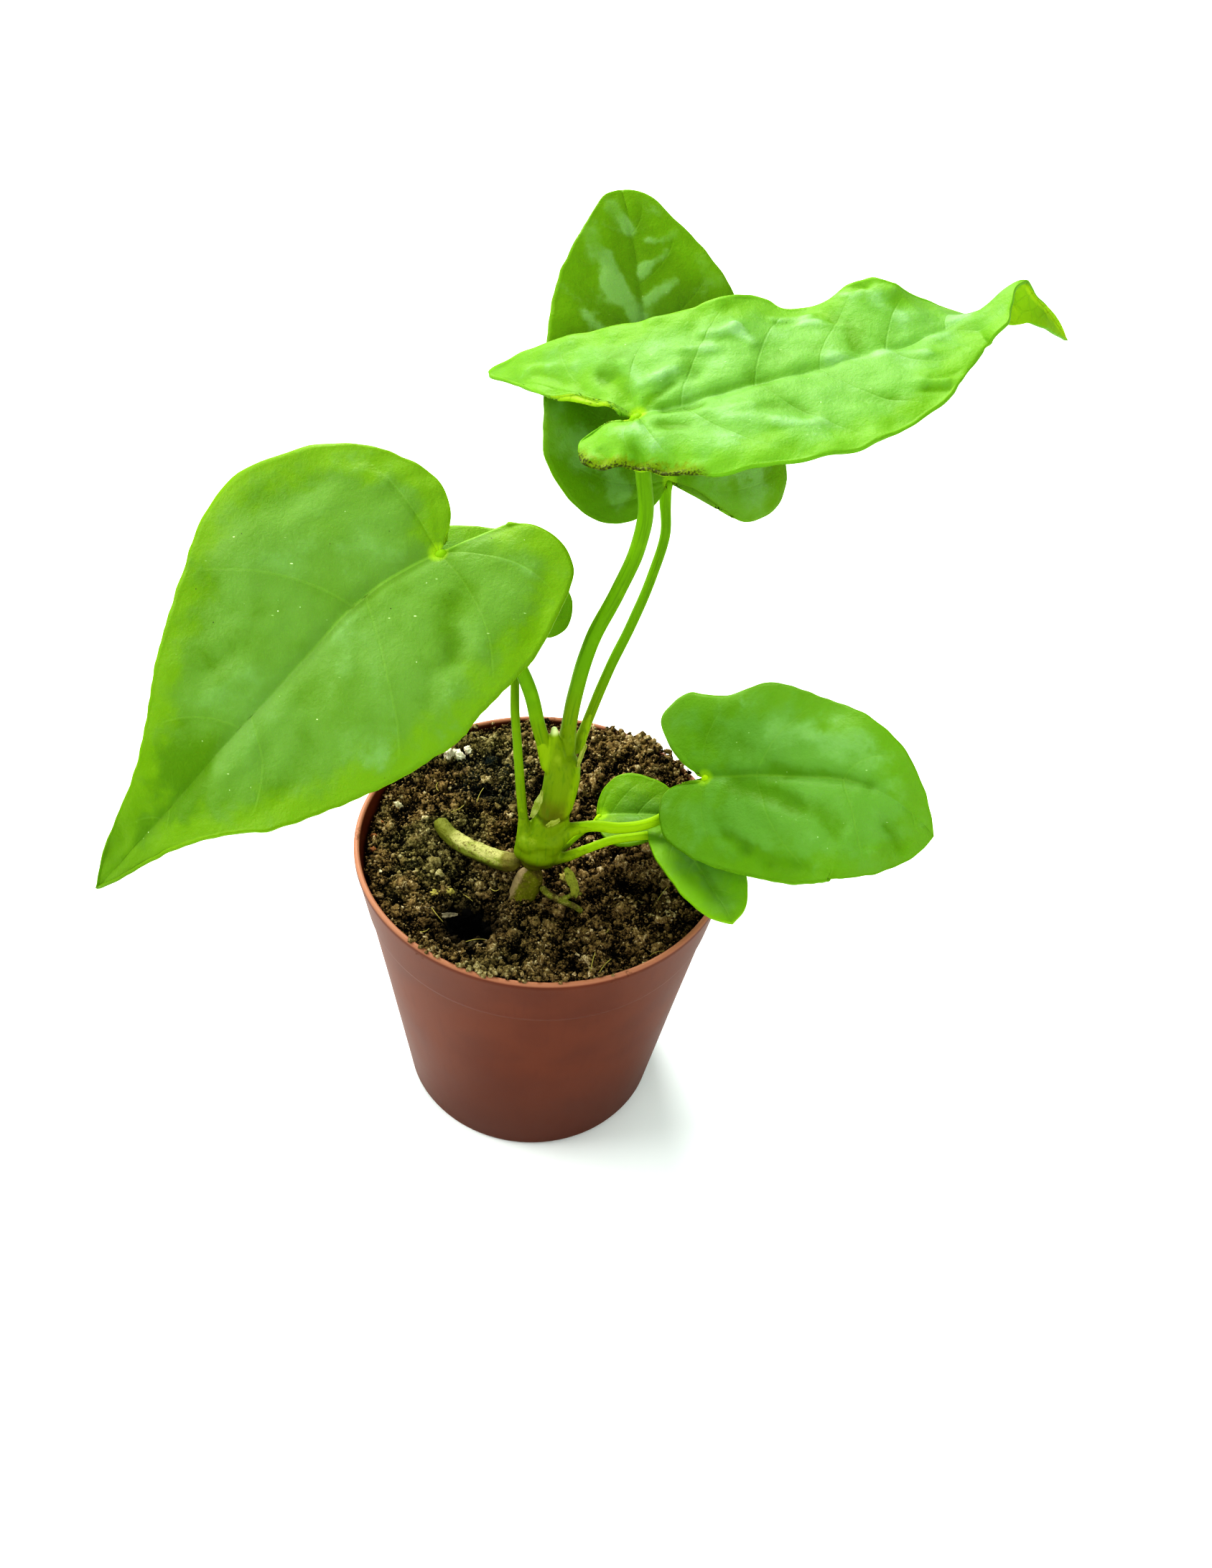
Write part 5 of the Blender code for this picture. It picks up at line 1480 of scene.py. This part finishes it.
# %% Each blade's two faces
# each kind: above its body, deep, pale, rim and vein colours, roughness and strengths, and below
# its body, deep and vein colours
GREENS = {
    "mid": (((0.147, 0.271, 0.036), (0.108, 0.218, 0.002), (0.2, 0.345, 0.1), (0.182, 0.32, 0.0005),
             (0.23, 0.39, 0.06)), 0.45, {"slant": 0.35, "rib": 0.6, "dust": 1.0, "thread": 0.16},
            ((0.17, 0.34, 0.006), (0.1, 0.26, 0.003), (0.3, 0.48, 0.03))),
    "pale": (((0.166, 0.34, 0.055), (0.105, 0.24, 0.002), (0.25, 0.425, 0.17), (0.17, 0.345, 0.015),
              (0.25, 0.42, 0.13)), 0.5, {"slant": 0.35, "dry": True},
             ((0.25, 0.42, 0.001), (0.18, 0.34, 0.001), (0.34, 0.5, 0.004))),
    "deep": (((0.16, 0.318, 0.053), (0.12, 0.255, 0.008), (0.22, 0.39, 0.12), (0.152, 0.3, 0.004),
              (0.27, 0.42, 0.05)), 0.42, {"rib": 0.25, "dust": 0.5},
             ((0.15, 0.34, 0.01), (0.09, 0.25, 0.002), (0.28, 0.48, 0.03))),
    "back": (((0.132, 0.245, 0.001), (0.085, 0.18, 0.001), (0.21, 0.35, 0.1), (0.16, 0.3, 0.004),
              (0.19, 0.32, 0.02)), 0.42, {"sharp": 0.35, "rib": 0.1, "dust": 0.2},
             ((0.14, 0.3, 0.006), (0.09, 0.22, 0.002), (0.28, 0.45, 0.02))),
    "young": (((0.2, 0.36, 0.07), (0.13, 0.26, 0.01), (0.28, 0.45, 0.15), (0.22, 0.4, 0.004),
               (0.3, 0.48, 0.05)), 0.42, {"rib": 0.2},
              ((0.18, 0.37, 0.008), (0.11, 0.28, 0.002), (0.3, 0.48, 0.02))),
}
FACES = {kind: (leaf_finish(f"leaf_{kind}_green", above, roughness, **strengths),
                under_finish(f"under_{kind}_green", *below))
         for kind, (above, roughness, strengths, below) in GREENS.items()}
# each blade's kind of green and its slot
WEARS = {
    "blade_left": ("mid", "blade_mid_green"), "blade_back_left": ("mid", "blade_mid_green"),
    "blade_top": ("pale", "blade_pale_green"), "blade_top_back": ("back", "blade_deep_green"),
    "blade_right": ("deep", "blade_deep_green"), "blade_low_right": ("young", "blade_deep_green"),
    "blade_small": ("mid", "blade_mid_green"),
}

# %% [markdown]
# ## From flat to bent
#
# The bending of a point is the plain solid's own, with one more number: how far the relief lifts
# it off the smooth blade.

# %% Bending a flat place
def blade_point(blade, curve, half, p, q, lift):
    """A flat point (p, q) of one half of a blade, placed in space."""
    half_number = ("left", "right").index(half)
    sign = 1 - 2 * half_number
    p, q, lift = float(p), float(q), float(lift)
    share = p / curve[1][-1]
    place, along = curve_point(curve, max(p, 0))
    normal = Vector((0, 0, 1)) - along.z * along
    normal.normalize()
    across = normal.cross(along)
    roll = math.radians(at_share(blade["roll"], share))
    across, normal = (across * math.cos(roll) + normal * math.sin(roll),
                      normal * math.cos(roll) - across * math.sin(roll))
    droop = blade["lobe"][half_number] / 1000
    behind = min(p, 0)
    place += along * math.sin(droop * behind) / droop
    place -= normal * (1 - math.cos(droop * behind)) / droop
    fold = math.radians(at_share(blade["fold"][half_number], share))
    curl = at_share(blade["curl"][half_number], share) / 1000
    out = (math.sin(fold + curl * q) - math.sin(fold)) / curl
    up = (math.cos(fold) - math.cos(fold + curl * q)) / curl
    for bump_half, bump_p, bump_q, height, radius in blade["bumps"]:
        bump_sign = 1 if bump_half == "left" else -1
        apart = math.hypot(p - bump_p, sign * q - bump_sign * bump_q)
        up += height * float(bell(apart / radius))
    return place + sign * out * across + (up + lift) * normal


# %% Rays of a half
NIBBLE = 0.2        # how far a margin wanders off its smooth curve


def ray_grid(blade, half, rays, steps, seed):
    """Flat places of a half, the share of the way round for each ray, and the margin."""
    length = curve_slopes(blade["midrib"])[1][-1]
    margin = curve_slopes([(p, q, 0) for p, q in blade[half]] + [(length, 0, 0)])
    reach = margin[1][-1]
    lobe_end = next(i / 200 for i in range(20, 200)
                    if curve_point(margin, reach * i / 200)[0].x > FAN_END)
    fan = round(rays * FAN_SHARE)
    count = np.arange(rays + 1)
    forward = np.clip((count - fan) / (rays - fan), 0, 1)
    way = lobe_end * np.minimum(count / fan, 1) + (1 - lobe_end) * forward
    edge = np.array([curve_point(margin, reach * w)[0][:2] for w in way])
    root = np.stack([length * forward, 0 * forward], 1)
    nibble = np.array([NIBBLE * lumps((reach * w, seed, 0), 0.55) for w in way])
    nibble = nibble * np.sin(np.pi * way) ** 0.3
    outward = edge - root
    edge = edge + outward / np.maximum(np.linalg.norm(outward, axis=1), 0.5)[:, None] * nibble[:, None]
    out = (np.arange(steps + 1) / steps) ** 1.2
    flat = root[:, None] + (edge - root)[:, None] * out[None, :, None]
    return flat, count / rays, out, edge, length


def margin_gap(flat, edge):
    """How far each flat place is from the margin."""
    start, step = edge[:-1], np.diff(edge, axis=0)
    away = flat.reshape(-1, 1, 2) - start
    share = np.clip((away * step).sum(2) / ((step**2).sum(1) + 1e-9), 0, 1)
    gaps = np.sqrt(((away - share[..., None] * step) ** 2).sum(2)).min(1)
    return gaps.reshape(flat.shape[:2])


def vein_numbers(flat, share, out, veins, sweep):
    """A number that is whole on each side vein, and the veins' spacing there in millimetres."""
    swept = share[:, None] - sweep * out[None, :] ** 1.6
    numbers = np.interp(swept, [-0.3, *veins, 1.4], [-2.2, *range(len(veins)), len(veins) + 2.4])
    down, across = np.gradient(flat, axis=0), np.gradient(flat, axis=1)
    number_down, number_across = np.gradient(numbers, axis=0), np.gradient(numbers, axis=1)
    area = down[..., 0] * across[..., 1] - across[..., 0] * down[..., 1]
    area = np.where(np.abs(area) < 1e-4, 1e-4, area)
    steep_p = (across[..., 1] * number_down - down[..., 1] * number_across) / area
    steep_q = (down[..., 0] * number_across - across[..., 0] * number_down) / area
    return numbers, np.clip(1 / np.maximum(np.hypot(steep_p, steep_q), 1e-3), 0.1, 14)


def lumps_over(flat, sign, height, scale, seed):
    """Soft noise for every flat place of a half."""
    return np.array([[lumps((p, sign * q, height), scale, seed) for p, q in row] for row in flat])


def tone_of(strokes, p, q, soft):
    """Lighter or darker strokes, each a soft line between two flat places."""
    tone = np.zeros(p.shape)
    for p0, q0, p1, q1, width, amount in strokes:
        width = (width * 1.15 + 0.15) * soft
        step = np.array([p1 - p0, q1 - q0])
        share = np.clip(((p - p0) * step[0] + (q - q0) * step[1]) / (step @ step), 0, 1)
        apart = np.hypot(p - p0 - share * step[0], q - q0 - share * step[1])
        tone += amount * bell(apart / width)
    return tone


# %% [markdown]
# The relief itself is a handful of soft shapes added up. On the upper face the midrib lies in a
# crease, each side vein in a shallow groove, and the flesh between veins swells. Because both
# faces come from one bent sheet, the same relief gives raised veins underneath.

# %% Relief
def relief(look, flat, out, gap, numbers, spacing, length, sign, seed, tone):
    """How far each flat place of a half stands above the smooth blade."""
    p, q = flat[..., 0], flat[..., 1]
    near = np.abs((numbers + 0.5) % 1 - 0.5)
    inside = np.clip(gap / 2.5, 0, 1)
    width = 0.4 + 0.8 * np.clip(1 - p / length, 0, 1)
    lift = -look["crease"] * bell(q / width) * np.clip(1.15 - p / length, 0, 1)
    swell = np.sin(np.pi * np.clip(out, 0, 1))[None, :] ** 0.6 * inside
    lift -= 0.5 * look["quilt"] * np.cos(2 * np.pi * near) * swell
    lift -= 0.03 * bell(near * spacing / 0.4) * inside
    broad, small = lumps_over(flat, sign, seed, 0.11, 1), lumps_over(flat, sign, seed, 0.45, 2)
    lift += look["wave"] * (broad * 0.9 + small * 0.25)
    if look["pucker"]:
        rim = np.clip(1 - gap / 4, 0, 1)
        near_lobe = np.clip((8 - p) / 4, 0, 1) * np.clip((q - 3.5) / 2, 0, 1) if sign < 0 else 0
        crinkle = lumps_over(flat, sign, seed, 0.33, 4)
        lift += look["pucker"] * crinkle * (0.35 + 0.65 * rim + 1.6 * rim * near_lobe)
    lift += look["dent"] * tone
    lift *= np.clip((look.get("calm", CALM_NOWHERE) - p) / 6, 0.05, 1)
    return lift * np.clip(gap / 0.4 + 0.4, 0, 1)


# %% Building a blade
FINER = 5           # rays for each ray of the plain solid
FINER_STEPS = 7
LEAF_THICKNESS = 0.42
CALM_NOWHERE = 90   # beyond every blade's tip
STROKE_WAVER = 0.5  # how far the strokes wander
CEILING = CAD_BOX[1][2] - 0.7 * LEAF_THICKNESS * MM     # no blade rises over the plain solids


def build_leaf(name, seed):
    """Both halves of a blade as one bent sheet, thickened, with what its finishes read."""
    blade, look = BLADES[name], LOOKS[name]
    curve = curve_slopes(blade["midrib"])
    work = bmesh.new()
    layers = [work.loops.layers.uv.new(key) for key in ("veins", "flat", "rim")]
    finer, finer_steps = look.get("finer", (FINER, FINER_STEPS))
    for half, sign, veins in zip(("left", "right"), (1, -1), look["veins"]):
        flat, share, out, edge, length = ray_grid(blade, half, blade["rays"] * finer,
                                                  blade["steps"] * finer_steps, seed)
        gap = margin_gap(flat, edge)
        numbers, spacing = vein_numbers(flat, share, out, veins, look["sweep"])
        p, q = flat[..., 0], sign * flat[..., 1]
        tone = tone_of(STROKES[name], p + STROKE_WAVER * lumps_over(flat, sign, 5, 0.4, 8),
                       q + STROKE_WAVER * lumps_over(flat, sign, 9, 0.4, 9), look.get("soft", 1))
        lift = relief(look, flat, out, gap, numbers, spacing, length, sign, seed, tone)
        marks = np.stack([numbers, spacing, p, q, gap, look["depth"] * tone], -1)
        grid = [[work.verts.new(blade_point(blade, curve, half, p, q, h) * MM)
                 for (p, q), h in zip(places, lifts)] for places, lifts in zip(flat, lift)]
        for i in range(len(grid) - 1):
            for j in range(len(out) - 1):
                corners = [(i, j), (i, j + 1), (i + 1, j + 1), (i + 1, j)]
                if sign > 0:
                    corners.reverse()
                face = work.faces.new([grid[a][b] for a, b in corners])
                face.smooth = True
                for loop, (a, b) in zip(face.loops, corners):
                    for k, layer in enumerate(layers):
                        loop[layer].uv = marks[a, b, 2 * k:2 * k + 2]
    for vert in work.verts:
        vert.co.z = min(vert.co.z, CEILING)
    bmesh.ops.remove_doubles(work, verts=work.verts, dist=0.00002)
    bmesh.ops.dissolve_degenerate(work, edges=work.edges, dist=0.00001)
    mesh = bpy.data.meshes.new(name.replace("blade", "leaf"))
    work.to_mesh(mesh)
    work.free()
    kind, slot_name = WEARS[name]
    for finish in FACES[kind]:
        mesh.materials.append(finish)
    made = put(mesh.name, mesh)
    shell = made.modifiers.new("thickness", "SOLIDIFY")
    shell.thickness = LEAF_THICKNESS * MM
    shell.offset = 0
    shell.material_offset = 1
    dress(plain_mesh(made), slot_name, name)


for number, name in enumerate(BLADES):
    build_leaf(name, 3 + 7 * number)

# %% [markdown]
# ## Size
#
# The plain solids' box and the dressed plant's box are both printed. The dressed plant has to
# stay in the plain solids' box.

# %% Sizes
dressed_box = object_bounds()
for name, corners in (("plain", CAD_BOX), ("dressed", dressed_box)):
    print(name, "box in mm:", [[round(v / MM, 2) for v in corner] for corner in corners])
